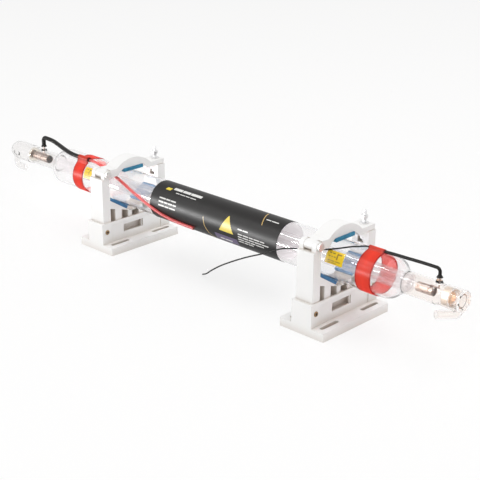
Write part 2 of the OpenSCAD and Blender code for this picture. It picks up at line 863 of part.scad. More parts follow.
module foot(x) {
    color("white")
        translate([x, 0, 0])
            difference() {
                union() {
                    foot_plate();
                    translate([-block_w / 2, -foot_l / 2, 0])
                        cube([block_w, foot_l, block_top]);
                }
                translate([-trough_w / 2, -trough_l / 2, trough_floor])
                    cube([trough_w, trough_l, block_top]);
                for (side = [-1, 1]) {
                    translate([side * block_w / 2 - panel_depth, panel_end - foot_l / 2, foot_t])
                        cube([2 * panel_depth, foot_l - 2 * panel_end, panel_top - foot_t]);
                    for (sy = [-1, 1])
                        slot(side * slot_x, sy * slot_y);
                }
                translate([-block_w, window_y0, window_z0])
                    cube([2 * block_w, window_y1 - window_y0, window_z1 - window_z0]);
                translate([-block_w, window_y1 + window_rib, window_z0])
                    cube([2 * block_w, window_slot_w, window_z1 - window_z0]);
                for (side = [-1, 1]) {
                    rod_x(0, side * lock_y, lock_z, block_w, lock_d / 2 + pin_gap);
                    rod_x(block_w / 2 - lock_sink, side * lock_y, lock_z, block_w,
                        lock_head_d / 2 + pin_gap);
                }
            }
}

module lock_screws(x) {
    reach = (block_w - cradle_w) / 2 - lock_sink + lock_reach;
    color("peru")
        translate([x, 0, 0])
            for (side = [-1, 1]) {
                rod_x(block_w / 2 - lock_sink + pin_gap, side * lock_y, lock_z, lock_head_t,
                    lock_head_d / 2);
                rod_x(block_w / 2 - lock_sink - reach, side * lock_y, lock_z,
                    reach + lock_head_t / 2, lock_d / 2);
            }
}

// Height of a cradle face beside the tube
function face_z(y) = axis_h - cradle_face / cos(cradle_angle) + y * tan(cradle_angle);
function face_y(z) = (z - axis_h + cradle_face / cos(cradle_angle)) / tan(cradle_angle);

// Cradle: two columns, a ribbed V between them and a beam in the trough, moulded in one
module cradle_outline() {
    half = cradle_l / 2;
    polygon([
        [-half, cradle_foot], [half, cradle_foot], [half, column_top],
        [column_inner, column_top], [column_inner, face_z(column_inner)],
        [face_y(v_floor), v_floor], [-face_y(v_floor), v_floor],
        [-column_inner, face_z(column_inner)], [-column_inner, column_top],
        [-half, column_top],
    ]);
}

module pocket(y0, y1) {
    polygon([
        [y0, beam_top], [y1, beam_top],
        [y1, pocket_base + pocket_rise * abs(y1)], [y0, pocket_base + pocket_rise * abs(y0)],
    ]);
}

module cradle(x) {
    pocket_depth = (cradle_w - web_t) / 2;
    color("whitesmoke")
        translate([x, 0, 0])
            difference() {
                union() {
                    across(cradle_w)
                        cradle_outline();
                    for (side = [-1, 1])
                        rod_x(side > 0 ? cradle_w / 2 - knuckle_w : -cradle_w / 2, -hinge_y,
                            hinge_z, knuckle_w, knuckle_r);
                    translate([-cradle_w / 2, -hinge_y - knuckle_r, column_top - EPS])
                        cube([cradle_w, knuckle_d, knuckle_r + EPS]);
                }
                // Room for the arch's knuckle and leg between the two fixed knuckles
                translate([knuckle_w - cradle_w / 2, -cradle_l / 2 - EPS, arch_foot - mould_gap])
                    cube([cradle_w - 2 * knuckle_w, cradle_l / 2, 2 * knuckle_d]);
                rod_x(-cradle_w, -hinge_y, hinge_z, 2 * cradle_w, stud_d / 2 + pin_gap);
                for (side = [-1, 1])
                    translate([side * (cradle_w + web_t) / 4 * 1, 0, 0])
                        across(pocket_depth + EPS) {
                            for (p = pockets) {
                                pocket(p[0], p[1]);
                                if (p[0] > 0)
                                    pocket(-p[1], -p[0]);
                            }
                        }
                for (side = [-1, 1])
                    translate([side * (cradle_w - beam_pocket_depth + EPS) / 2, 0, 0])
                        across(beam_pocket_depth + EPS)
                            translate([window_y0 - beam_pocket_lap, window_z0 - beam_pocket_lap])
                                square([
                                    window_y1 - window_y0 + 2 * beam_pocket_lap + window_slot_w,
                                    window_z1 - window_z0 + 2 * beam_pocket_lap,
                                ]);
                for (side = [-1, 1])
                    rod_x(cradle_w / 2 - lock_reach - pin_gap, side * lock_y, lock_z, cradle_w,
                        lock_d / 2 + pin_gap);
                translate([0, stud_y, stud_foot - pin_gap])
                    cylinder(h = column_top, r = stud_d / 2 + pin_gap);
                translate([-nut_af / 2 - captive_gap, column_inner - EPS, captive_top - captive_h])
                    cube([nut_af + 2 * captive_gap, stud_y + 5 - column_inner + EPS, captive_h]);
            }
}

// Arch: a ring segment with a flat seat, a knuckle on the near side and a lug on the far side
module arch_outline() {
    difference() {
        union() {
            intersection() {
                translate([0, axis_h])
                    circle(r = arch_r);
                translate([-arch_r, arch_foot])
                    square([2 * arch_r, arch_r]);
            }
            polygon([
                [knuckle_r + mould_gap - hinge_y, arch_foot],
                [-arch_inner * 0.8, arch_foot], [-arch_r * 0.64, hinge_z + knuckle_r * 0.7],
                [knuckle_r + mould_gap - hinge_y, hinge_z + knuckle_r * 0.8],
            ]);
            translate([arch_inner * 0.8, arch_foot])
                square([cradle_l / 2 - arch_inner * 0.8, lug_t]);
        }
        intersection() {
            translate([0, axis_h])
                circle(r = arch_inner);
            translate([-arch_inner, 0])
                square([2 * arch_inner, axis_h + arch_seat]);
        }
    }
}

module arch(x) {
    mid_w = cradle_w - 2 * knuckle_w - 2 * mould_gap;
    color("whitesmoke")
        translate([x, 0, 0])
            difference() {
                union() {
                    across(arch_w)
                        arch_outline();
                    rod_x(-mid_w / 2, -hinge_y, hinge_z, mid_w, knuckle_r - mould_gap);
                    across(mid_w)
                        polygon([
                            [-hinge_y, hinge_z - knuckle_r + mould_gap],
                            [-hinge_y + knuckle_r + 1, arch_foot],
                            [-hinge_y + knuckle_r + 1, hinge_z + knuckle_r * 0.8],
                            [-hinge_y, hinge_z + knuckle_r - mould_gap],
                        ]);
                }
                rod_x(-cradle_w, -hinge_y, hinge_z, 2 * cradle_w, stud_d / 2 + pin_gap);
                translate([0, stud_y, column_top - EPS])
                    cylinder(h = arch_r, r = stud_d / 2 + stud_hole_gap);
            }
}

module hinge_pin(x) {
    color("dimgray")
        translate([x, 0, 0]) {
            rod_x(-cradle_w / 2, -hinge_y, hinge_z, cradle_w, stud_d / 2);
            rod_x(cradle_w / 2, -hinge_y, hinge_z, hinge_head_t, hinge_head_d / 2);
        }
}

module stud(x) {
    color("silver")
        translate([x, stud_y, stud_foot])
            cylinder(h = column_top + stud_over - stud_foot, r = stud_d / 2);
}

module hex_nut(x, z) {
    color("silver")
        translate([x, stud_y, z])
            rotate([0, 0, 30])
                difference() {
                    cylinder(h = nut_t, d = nut_af / cos(30), $fn = 6);
                    translate([0, 0, -EPS])
                        cylinder(h = nut_t + 2 * EPS, r = stud_d / 2 + pin_gap);
                }
}

module nut(x) {
    hex_nut(x, column_top + nut_over);
}

module captive_nut(x) {
    hex_nut(x, captive_top - pin_gap - nut_t);
}

module washer(x) {
    color("silver")
        translate([x, stud_y, arch_foot + lug_t + pin_gap])
            difference() {
                cylinder(h = washer_t, d = washer_d);
                translate([0, 0, -EPS])
                    cylinder(h = washer_t + 2 * EPS, r = stud_d / 2 + pin_gap);
            }
}

// Rubber pads: two on the cradle's faces and one under the arch
module top_pad(x) {
    color("steelblue")
        translate([x - cradle_w / 2, -top_pad_w / 2, axis_h + arch_seat - pad_gap - top_pad_t])
            cube([cradle_w, top_pad_w, top_pad_t]);
}

module cradle_pad(x, side) {
    color("steelblue")
        translate([x, 0, axis_h])
            mirror([0, side > 0 ? 0 : 1, 0])
                rotate([cradle_angle, 0, 0])
                    translate([-cradle_w / 2, -1, -pad_face - pad_t])
                        cube([cradle_w, pad_l, pad_t]);
}

gas_jacket();
water_jacket();
discharge_bore();
gas_return_tube();
front_head();
coupler_seat();
output_coupler();
cooling_spool();
cathode();
cathode_pin();
rear_head();
rear_mirror();
anode();
anode_pin();
label_sleeve();
front_band();
rear_band();
front_sticker();
rear_sticker();
cathode_boot();
cathode_sleeve();
black_lead();
anode_boot();
anode_sleeve();
red_lead();
foot(front_support_x);  // front_foot
cradle(front_support_x);  // front_cradle
arch(front_support_x);  // front_arch
hinge_pin(front_support_x);  // front_hinge_pin
stud(front_support_x);  // front_stud
nut(front_support_x);  // front_nut
washer(front_support_x);  // front_washer
captive_nut(front_support_x);  // front_captive_nut
top_pad(front_support_x);  // front_top_pad
cradle_pad(front_support_x, -1);  // front_near_pad
cradle_pad(front_support_x, 1);  // front_far_pad
lock_screws(front_support_x);  // front_lock_screws
foot(rear_support_x);  // rear_foot
cradle(rear_support_x);  // rear_cradle
arch(rear_support_x);  // rear_arch
hinge_pin(rear_support_x);  // rear_hinge_pin
stud(rear_support_x);  // rear_stud
nut(rear_support_x);  // rear_nut
washer(rear_support_x);  // rear_washer
captive_nut(rear_support_x);  // rear_captive_nut
top_pad(rear_support_x);  // rear_top_pad
cradle_pad(rear_support_x, -1);  // rear_near_pad
cradle_pad(rear_support_x, 1);  // rear_far_pad
lock_screws(rear_support_x);  // rear_lock_screws
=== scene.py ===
"""Dresses a water-cooled glass laser tube, its two leads and its two clamp supports.

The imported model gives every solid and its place. This script keeps the solids whose shape
is right and gives them their finishes, lays the leads and sleeves as smooth tubes, prints
the black sleeve with plain fields of colour, cuts threads and sockets, and lights the bench.
All lengths are in metres and all places are in the model's own frame: +X is the way the
beam leaves, +Z is up and the tube's axis is 76.2 mm over the bench.
"""

import json
import logging
import math
from dataclasses import dataclass
from enum import Enum
from functools import cache
from typing import Protocol

import bmesh
import bpy
from mathutils import Matrix, Vector

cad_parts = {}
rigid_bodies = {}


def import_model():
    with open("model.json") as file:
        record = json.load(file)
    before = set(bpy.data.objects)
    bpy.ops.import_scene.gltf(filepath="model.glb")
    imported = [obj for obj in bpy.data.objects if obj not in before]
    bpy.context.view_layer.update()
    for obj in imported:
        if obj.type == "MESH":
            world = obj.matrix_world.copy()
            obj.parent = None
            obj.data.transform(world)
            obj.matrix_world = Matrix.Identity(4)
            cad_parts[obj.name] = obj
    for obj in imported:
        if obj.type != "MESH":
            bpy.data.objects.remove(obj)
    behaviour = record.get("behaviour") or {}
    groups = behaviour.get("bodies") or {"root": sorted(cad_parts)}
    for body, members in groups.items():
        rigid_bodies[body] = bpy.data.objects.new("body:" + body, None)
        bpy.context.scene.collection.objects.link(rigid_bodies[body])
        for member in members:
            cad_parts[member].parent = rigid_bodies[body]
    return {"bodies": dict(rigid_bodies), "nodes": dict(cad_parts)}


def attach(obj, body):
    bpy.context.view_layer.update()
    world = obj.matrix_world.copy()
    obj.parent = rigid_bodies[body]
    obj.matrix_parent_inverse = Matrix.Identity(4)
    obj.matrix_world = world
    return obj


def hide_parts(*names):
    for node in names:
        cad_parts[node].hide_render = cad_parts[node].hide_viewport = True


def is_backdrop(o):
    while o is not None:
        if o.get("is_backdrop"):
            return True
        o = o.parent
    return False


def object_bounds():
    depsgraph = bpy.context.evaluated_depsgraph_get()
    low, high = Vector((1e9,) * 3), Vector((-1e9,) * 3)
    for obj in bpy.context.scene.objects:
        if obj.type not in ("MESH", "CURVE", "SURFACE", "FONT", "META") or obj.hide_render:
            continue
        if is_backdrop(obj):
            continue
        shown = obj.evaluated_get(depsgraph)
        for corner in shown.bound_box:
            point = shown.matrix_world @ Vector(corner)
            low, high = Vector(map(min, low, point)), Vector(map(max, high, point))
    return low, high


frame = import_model()

log = logging.getLogger("laser_tube")

MM = 0.001
AXIS_H = 0.0762
NOZZLE_FALL = math.radians(18)
BAND_W = 0.0215
ROUND = 24  # corners of a small round
HEX = 6
Colour = tuple[float, float, float]
Point = tuple[float, float, float]
Node, Socket, Material = bpy.types.Node, bpy.types.NodeSocket, bpy.types.Material
Thing, Mesh = bpy.types.Object, bmesh.types.BMesh
Vert, Edge, Face = bmesh.types.BMVert, bmesh.types.BMEdge, bmesh.types.BMFace


class Slot(Enum):
    """The record's material slots; each lead holds one, but no piece is given it."""

    FILM = "black_film"
    YELLOW = "yellow_film"
    BLACK_RUBBER = "black_rubber"
    RED_RUBBER = "red_silicone"
    ZINC = "zinc_steel"
    BRONZE = "bronze_steel"


# ---------------- finishes


class Bench:
    """Lays out the nodes of one material, or of the surround."""

    def __init__(self, name: str, surround: bool = False) -> None:
        """Starts an empty node tree.

        Args:
            name: The material's name.
            surround: True for the world that stands round the object.
        """
        store = bpy.data.worlds if surround else bpy.data.materials
        self.owner = store.new(name)
        self.owner.use_nodes = True
        self.tree = self.owner.node_tree
        self.tree.nodes.clear()
        self.out = self.add("ShaderNodeOutputWorld" if surround else "ShaderNodeOutputMaterial")

    def add(self, kind: str, **values: object) -> Node:
        """Adds a node and sets its plain values.

        Args:
            kind: The node's type name.
            **values: Socket values, with spaces written as underscores.

        Returns:
            The new node.
        """
        node = self.tree.nodes.new(kind)
        for key, value in values.items():
            node.inputs[key.replace("_", " ")].default_value = value
        return node

    def link(self, source: Socket, target: Socket) -> None:
        """Joins two sockets."""
        self.tree.links.new(source, target)

    def feed(self, value: float | Socket, target: Socket) -> None:
        """Gives a socket a number, or joins another socket to it.

        Args:
            value: The number or the socket.
            target: The socket that takes it.
        """
        if isinstance(value, float):
            target.default_value = value
        else:
            self.link(value, target)

    def shader(self, colour: Colour, rough: float, **values: object) -> Node:
        """Adds the main shader.

        Args:
            colour: Base colour.
            rough: Roughness.
            **values: Further socket values.

        Returns:
            The shader node, not yet joined to the output.
        """
        node = self.add("ShaderNodeBsdfPrincipled", Roughness=rough, **values)
        node.inputs["Base Color"].default_value = (*colour, 1)
        return node

    def clear(self, tint: Colour) -> Node:
        """Adds a shader that lets light straight through."""
        return self.add("ShaderNodeBsdfTransparent", Color=(*tint, 1))

    def milky(self, tint: Colour) -> Node:
        """Adds a shader that scatters light through."""
        return self.add("ShaderNodeBsdfTranslucent", Color=(*tint, 1))

    def finish(self, shader: Node) -> bpy.types.ID:
        """Joins the shader to the output and returns the material or world."""
        self.link(shader.outputs[0], self.out.inputs["Surface"])
        return self.owner

    def blend(self, share: float | Socket, first: Node, second: Node) -> Node:
        """Mixes two shaders.

        Args:
            share: Share of the second, as a number or a socket.
            first: The first shader.
            second: The second shader.

        Returns:
            The mixed shader.
        """
        mix = self.add("ShaderNodeMixShader")
        self.feed(share, mix.inputs[0])
        self.link(first.outputs[0], mix.inputs[1])
        self.link(second.outputs[0], mix.inputs[2])
        return mix

    def lit(self, surface: Node, tint: Colour) -> Node:
        """Lets the lamps' light straight through a surface.

        Args:
            surface: The surface's shader.
            tint: Colour that the light takes on its way.

        Returns:
            The shader of both.
        """
        path = self.add("ShaderNodeLightPath")
        return self.blend(path.outputs["Is Shadow Ray"], surface, self.clear(tint))

    def calculate(self, operation: str, first: Socket, second: float | Socket = 0.0) -> Socket:
        """Works out a value.

        Args:
            operation: The Math node's operation.
            first: The first value.
            second: The second value, as a number or a socket.

        Returns:
            The result's socket.
        """
        node = self.add("ShaderNodeMath")
        node.operation = operation
        self.link(first, node.inputs[0])
        self.feed(second, node.inputs[1])
        return node.outputs[0]

    def place(self, scale: Point = (1, 1, 1)) -> Socket:
        """Gives the piece's own coordinates, scaled.

        Args:
            scale: Scale along each axis.

        Returns:
            A vector socket.
        """
        coords = self.add("ShaderNodeTexCoord")
        mapping = self.add("ShaderNodeMapping", Scale=scale)
        self.link(coords.outputs["Object"], mapping.inputs["Vector"])
        return mapping.outputs["Vector"]

    def coordinate(self, axis: str) -> Socket:
        """Gives one of the piece's own coordinates.

        Args:
            axis: Its letter.

        Returns:
            The value's socket.
        """
        split = self.add("ShaderNodeSeparateXYZ")
        self.link(self.place(), split.inputs[0])
        return split.outputs[axis]

    def noise(self, size: float, detail: float, scale: Point = (1, 1, 1)) -> Socket:
        """Adds noise on the piece's own coordinates.

        Args:
            size: Size of a blotch, in metres.
            detail: Octaves.
            scale: Stretch of the coordinates.

        Returns:
            The noise's value socket.
        """
        node = self.add("ShaderNodeTexNoise", Scale=1 / size, Detail=detail)
        self.link(self.place(scale), node.inputs["Vector"])
        return node.outputs["Fac"]

    def ramp(self, source: Socket, stops: list[tuple[float, Colour]]) -> Socket:
        """Turns a value into a colour.

        Args:
            source: The value's socket.
            stops: Places and colours along the ramp.

        Returns:
            The colour socket.
        """
        node = self.add("ShaderNodeValToRGB")
        elements = node.color_ramp.elements
        for i, (at, colour) in enumerate(stops):
            if i >= len(elements):
                elements.new(at)
            elements[i].position = at
            elements[i].color = (*colour, 1)
        self.link(source, node.inputs["Fac"])
        return node.outputs["Color"]

    def bump(
        self, source: Socket, height: float, strength: float, over: Socket | None = None
    ) -> Socket:
        """Adds a bump from a value.

        Args:
            source: The height's socket.
            height: Height in metres of a full step.
            strength: Share of the bump that shows.
            over: A normal to lay the bump over.

        Returns:
            The normal socket.
        """
        node = self.add("ShaderNodeBump", Strength=strength, Distance=height)
        self.link(source, node.inputs["Height"])
        if over is not None:
            self.link(over, node.inputs["Normal"])
        return node.outputs["Normal"]

    def grain(
        self,
        shader: Node,
        size: float,
        height: float,
        strength: float = 1.0,
        edge: float = 0.0,
        stretch: Point = (1, 1, 1),
    ) -> None:
        """Gives a shader a fine grain, and soft edges where an edge radius is given.

        Args:
            shader: The shader.
            size: Size of the grain, in metres.
            height: Height of the grain, in metres.
            strength: Share of the grain that shows.
            edge: Radius of the soft edges, in metres.
            stretch: Stretch of the coordinates.
        """
        over = None
        if edge:
            soft = self.add("ShaderNodeBevel", Radius=edge)
            soft.samples = 4
            over = soft.outputs["Normal"]
        bump = self.bump(self.noise(size, 2, stretch), height, strength, over)
        self.link(bump, shader.inputs["Normal"])


@dataclass(frozen=True)
class GroundEnd:
    """A cut end of a glass tube, ground matt.

    It holds all glass beyond a plane and under a ceiling.
    """

    normal: Point
    reach: float
    ceiling: float = 1.0
    matt: Colour = (0.90, 0.885, 0.88)
    inner: Colour = (0.95, 0.94, 0.94)
    rough: float = 0.55

    def mask(self, b: Bench) -> Socket:
        """Gives 1 on the end and 0 elsewhere.

        Args:
            b: The material being laid out.

        Returns:
            The value's socket.
        """
        along = b.add("ShaderNodeVectorMath")
        along.operation = "DOT_PRODUCT"
        along.inputs[1].default_value = self.normal
        b.link(b.place(), along.inputs[0])
        beyond = b.calculate("GREATER_THAN", along.outputs["Value"], self.reach)
        under = b.calculate("LESS_THAN", b.coordinate("Z"), self.ceiling)
        return b.calculate("MULTIPLY", beyond, under)

    def over(self, b: Bench, surface: Node) -> Node:
        """Lays the ground end over a surface.

        Args:
            b: The material being laid out.
            surface: The shader of the rest of the piece.

        Returns:
            The shader of both.
        """
        ground = b.blend(0.5, b.shader(self.matt, self.rough), b.milky(self.inner))
        return b.blend(self.mask(b), surface, ground)


@dataclass(frozen=True)
class ClearGlass:
    """Blown glass: clear face on, greyer where a wall is seen along its length; the grey is partly
    the glass's own tint and partly painted shade in place of dark reflections at the rims.

    Light from the lamps goes through it, so that what is inside is lit.
    """

    name: str = "borosilicate"
    face: Colour = (0.972, 0.966, 0.968)
    rim: Colour = (0.66, 0.64, 0.645)
    ior: float = 1.45
    ripple: float = 0.00002
    ends: tuple[GroundEnd, ...] = ()

    def make(self) -> Material:
        """Builds the material.

        Returns:
            The material.
        """
        b = Bench(self.name)
        glass = b.shader(self.face, 0.0, IOR=self.ior, Transmission_Weight=1.0)
        # painted shade: the tint greys with the facing angle, partly the glass's own tint, partly
        # in place of dark reflections at the rims
        facing = b.add("ShaderNodeLayerWeight", Blend=0.28).outputs["Facing"]
        side = tuple((f * 2 + r) / 3 for f, r in zip(self.face, self.rim))
        tint = b.ramp(facing, [(0.0, self.face), (0.45, self.face), (0.8, side)])
        b.link(tint, glass.inputs["Base Color"])
        b.grain(glass, 0.03, self.ripple, stretch=(0.35, 1, 1))
        surface = b.lit(glass, tuple(c * 0.97 for c in self.face))
        for end in self.ends:
            surface = end.over(b, surface)
        return b.finish(surface)


@dataclass(frozen=True)
class ThinGlass:
    """A thin glass wall: clear face on, faintly tinted along its sides, with a clean gloss; the
    tint is partly the glass's own and partly painted shade in place of dark reflections.
    """

    name: str
    face: Colour = (0.985, 0.982, 0.983)
    side: Colour = (0.93, 0.92, 0.922)
    gloss: float = 0.3
    ripple: float = 0.00002
    haze: float = 0.0
    milk: Colour = (0.95, 0.93, 0.94)

    def make(self) -> Material:
        """Builds the material.

        Returns:
            The material.
        """
        b = Bench(self.name)
        # painted shade: the tint greys with the facing angle, partly the glass's own tint, partly
        # in place of dark reflections at the rims
        facing = b.add("ShaderNodeLayerWeight", Blend=0.3).outputs["Facing"]
        tint = b.ramp(facing, [(0.0, self.face), (0.5, self.face), (0.95, self.side)])
        clear = b.clear(self.face)
        b.link(tint, clear.inputs["Color"])
        shine = b.shader((1.0, 1.0, 1.0), 0.02, Metallic=1.0)
        b.grain(shine, 0.03, self.ripple, stretch=(0.35, 1, 1))
        edge = b.add("ShaderNodeFresnel", IOR=1.3).outputs[0]
        wall = b.blend(b.calculate("MULTIPLY", edge, self.gloss), clear, shine)
        return b.finish(b.blend(self.haze, wall, b.milky(self.milk)) if self.haze else wall)


@dataclass(frozen=True)
class Mottled:
    """A colour that wears in patches, with a fine grain and soft edges."""

    name: str
    colour: Colour
    worn: Colour
    rough: float = 0.3
    grain: float = 0.004
    grain_height: float = 0.00002
    grain_share: float = 1.0
    stretch: Point = (1, 1, 1)
    edge: float = 0.0
    patch: float = 0.012
    patch_span: tuple[float, float] = (0.35, 0.8)
    rough_span: tuple[float, float] = (1.0, 1.0)
    metallic: float = 0.0
    shine: float = 0.5
    # glow is an emission strength; the label backing's glow is painted light
    glow: float = 0.0
    clear: float = 0.0
    tint: Colour = (1.0, 1.0, 1.0)

    def make(self) -> Material:
        """Builds the material.

        Returns:
            The material.
        """
        b = Bench(self.name)
        skin = b.shader(
            self.colour, self.rough, Metallic=self.metallic, Specular_IOR_Level=self.shine,
            Emission_Strength=self.glow,
        )
        skin.inputs["Emission Color"].default_value = (*self.colour, 1)
        patches = b.noise(self.patch, 4)
        tint = b.ramp(patches, list(zip(self.patch_span, (self.colour, self.worn))))
        b.link(tint, skin.inputs["Base Color"])
        low, high = (self.rough * share for share in self.rough_span)
        if low < high:
            spread = b.add("ShaderNodeMapRange", To_Min=low, To_Max=high)
            b.link(patches, spread.inputs["Value"])
            b.link(spread.outputs["Result"], skin.inputs["Roughness"])
        b.grain(skin, self.grain, self.grain_height, self.grain_share, self.edge, self.stretch)
        return b.finish(b.blend(self.clear, skin, b.clear(self.tint)) if self.clear else skin)


@dataclass(frozen=True)
class Metal(Mottled):
    """Bare or plated metal with fine lines and a little tarnish."""

    grain: float = 0.0004
    grain_share: float = 0.5
    edge: float = 0.00015
    patch: float = 0.004
    patch_span: tuple[float, float] = (0.35, 0.7)
    rough_span: tuple[float, float] = (0.75, 1.4)
    metallic: float = 1.0


@dataclass(frozen=True)
class Rubber(Mottled):
    """Rubber or silicone with a satin skin and faint dust."""

    grain: float = 0.0005
    grain_height: float = 0.00003
    grain_share: float = 0.4
    edge: float = 0.0002
    patch: float = 0.006
    patch_span: tuple[float, float] = (0.4, 0.75)


@dataclass(frozen=True)
class Film(Mottled):
    """Printed or plain film wrapped on the glass, with a slight orange-peel gloss."""

    rough_span: tuple[float, float] = (0.9, 1.2)


@dataclass(frozen=True)
class MouldedPlastic:
    """White moulded plastic: fine satin skin, soft edges, and painted shade that darkens its
    recesses.
    """

    name: str = "moulded_white"
    colour: Colour = (0.90, 0.90, 0.895)
    painted_recess_shade: Colour = (0.66, 0.60, 0.54)
    painted_shade_reach: float = 0.018
    cloud: Colour = (0.985, 0.985, 0.985)
    cloud_size: float = 0.02
    rough: float = 0.42
    skin: float = 0.0006
    skin_height: float = 0.00002
    edge: float = 0.0005

    def make(self) -> Material:
        """Builds the material.

        Returns:
            The material.
        """
        b = Bench(self.name)
        plastic = b.shader(self.colour, self.rough)
        # painted shade: ambient occlusion darkens the colour in corners and recesses, where shade
        # falls
        corner = b.add("ShaderNodeAmbientOcclusion", Distance=self.painted_shade_reach)
        corner.samples = 6
        shade = b.ramp(corner.outputs["AO"], [(0.25, self.painted_recess_shade), (0.85, self.colour)])
        cloud = b.ramp(b.noise(self.cloud_size, 2), [(0.3, self.cloud), (0.7, (1, 1, 1))])
        mixed = b.add("ShaderNodeMix")
        mixed.data_type, mixed.blend_type = "RGBA", "MULTIPLY"
        mixed.inputs[0].default_value = 1.0
        b.link(shade, mixed.inputs[6])
        b.link(cloud, mixed.inputs[7])
        b.link(mixed.outputs[2], plastic.inputs["Base Color"])
        b.grain(plastic, self.skin, self.skin_height, 0.35, self.edge)
        return b.finish(plastic)


@dataclass(frozen=True)
class BandRubber:
    """Stretched elastic band: lets light through, with fine ribs, darker hems and a faint glow that
    is painted light.
    """

    name: str
    centre: float
    width: float = BAND_W
    colour: Colour = (1.0, 0.11, 0.055)
    through: Colour = (1.0, 0.11, 0.075)
    hem: Colour = (0.42, 0.02, 0.018)
    hem_w: float = 0.0006
    # glow is painted light: the band emits its own tint though it is no lamp
    glow: float = 0.14
    clear_share: float = 0.36
    milky_share: float = 0.45
    ribs_per_m: float = 450.0
    rib_height: float = 0.00003

    def make(self) -> Material:
        """Builds the material.

        Returns:
            The material.
        """
        b = Bench(self.name)
        half = self.width / 2
        # painted light: the band's emission takes the tint and the glow strength
        band = b.shader(self.colour, 0.3, Emission_Strength=self.glow)
        away = b.calculate("SUBTRACT", b.coordinate("X"), self.centre)
        share = b.calculate("DIVIDE", b.calculate("ABSOLUTE", away), half)
        start = 1 - self.hem_w / half
        deeper = tuple(c * 0.86 for c in self.colour)
        stops = [(0.0, self.colour), (start - 0.12, deeper), (start, self.hem), (1.0, self.hem)]
        tint = b.ramp(share, stops)
        b.link(tint, band.inputs["Base Color"])
        b.link(tint, band.inputs["Emission Color"])
        ribs = b.add("ShaderNodeTexWave", Scale=self.ribs_per_m, Distortion=0.6, Detail=1.0)
        b.link(b.place(), ribs.inputs["Vector"])
        b.link(b.bump(ribs.outputs["Fac"], self.rib_height, 0.5), band.inputs["Normal"])
        milky = b.milky(self.colour)
        b.link(tint, milky.inputs["Color"])
        dense = b.blend(self.milky_share, band, milky)
        return b.finish(b.blend(self.clear_share, dense, b.clear(self.through)))


@dataclass(frozen=True)
class AmberOptic:
    """Polished amber optic."""

    name: str = "amber_coupler"
    colour: Colour = (1.0, 0.56, 0.26)
    blush: Colour = (0.95, 0.66, 0.40)
    tint: Colour = (1.0, 0.75, 0.5)
    ior: float = 2.0

    def make(self) -> Material:
        """Builds the material.

        Returns:
            The material.
        """
        b = Bench(self.name)
        optic = b.shader(self.colour, 0.06, IOR=self.ior, Transmission_Weight=0.75)
        blush = b.ramp(b.noise(0.012, 1), [(0.3, self.colour), (0.7, self.blush)])
        b.link(blush, optic.inputs["Base Color"])
        return b.finish(b.lit(optic, self.tint))


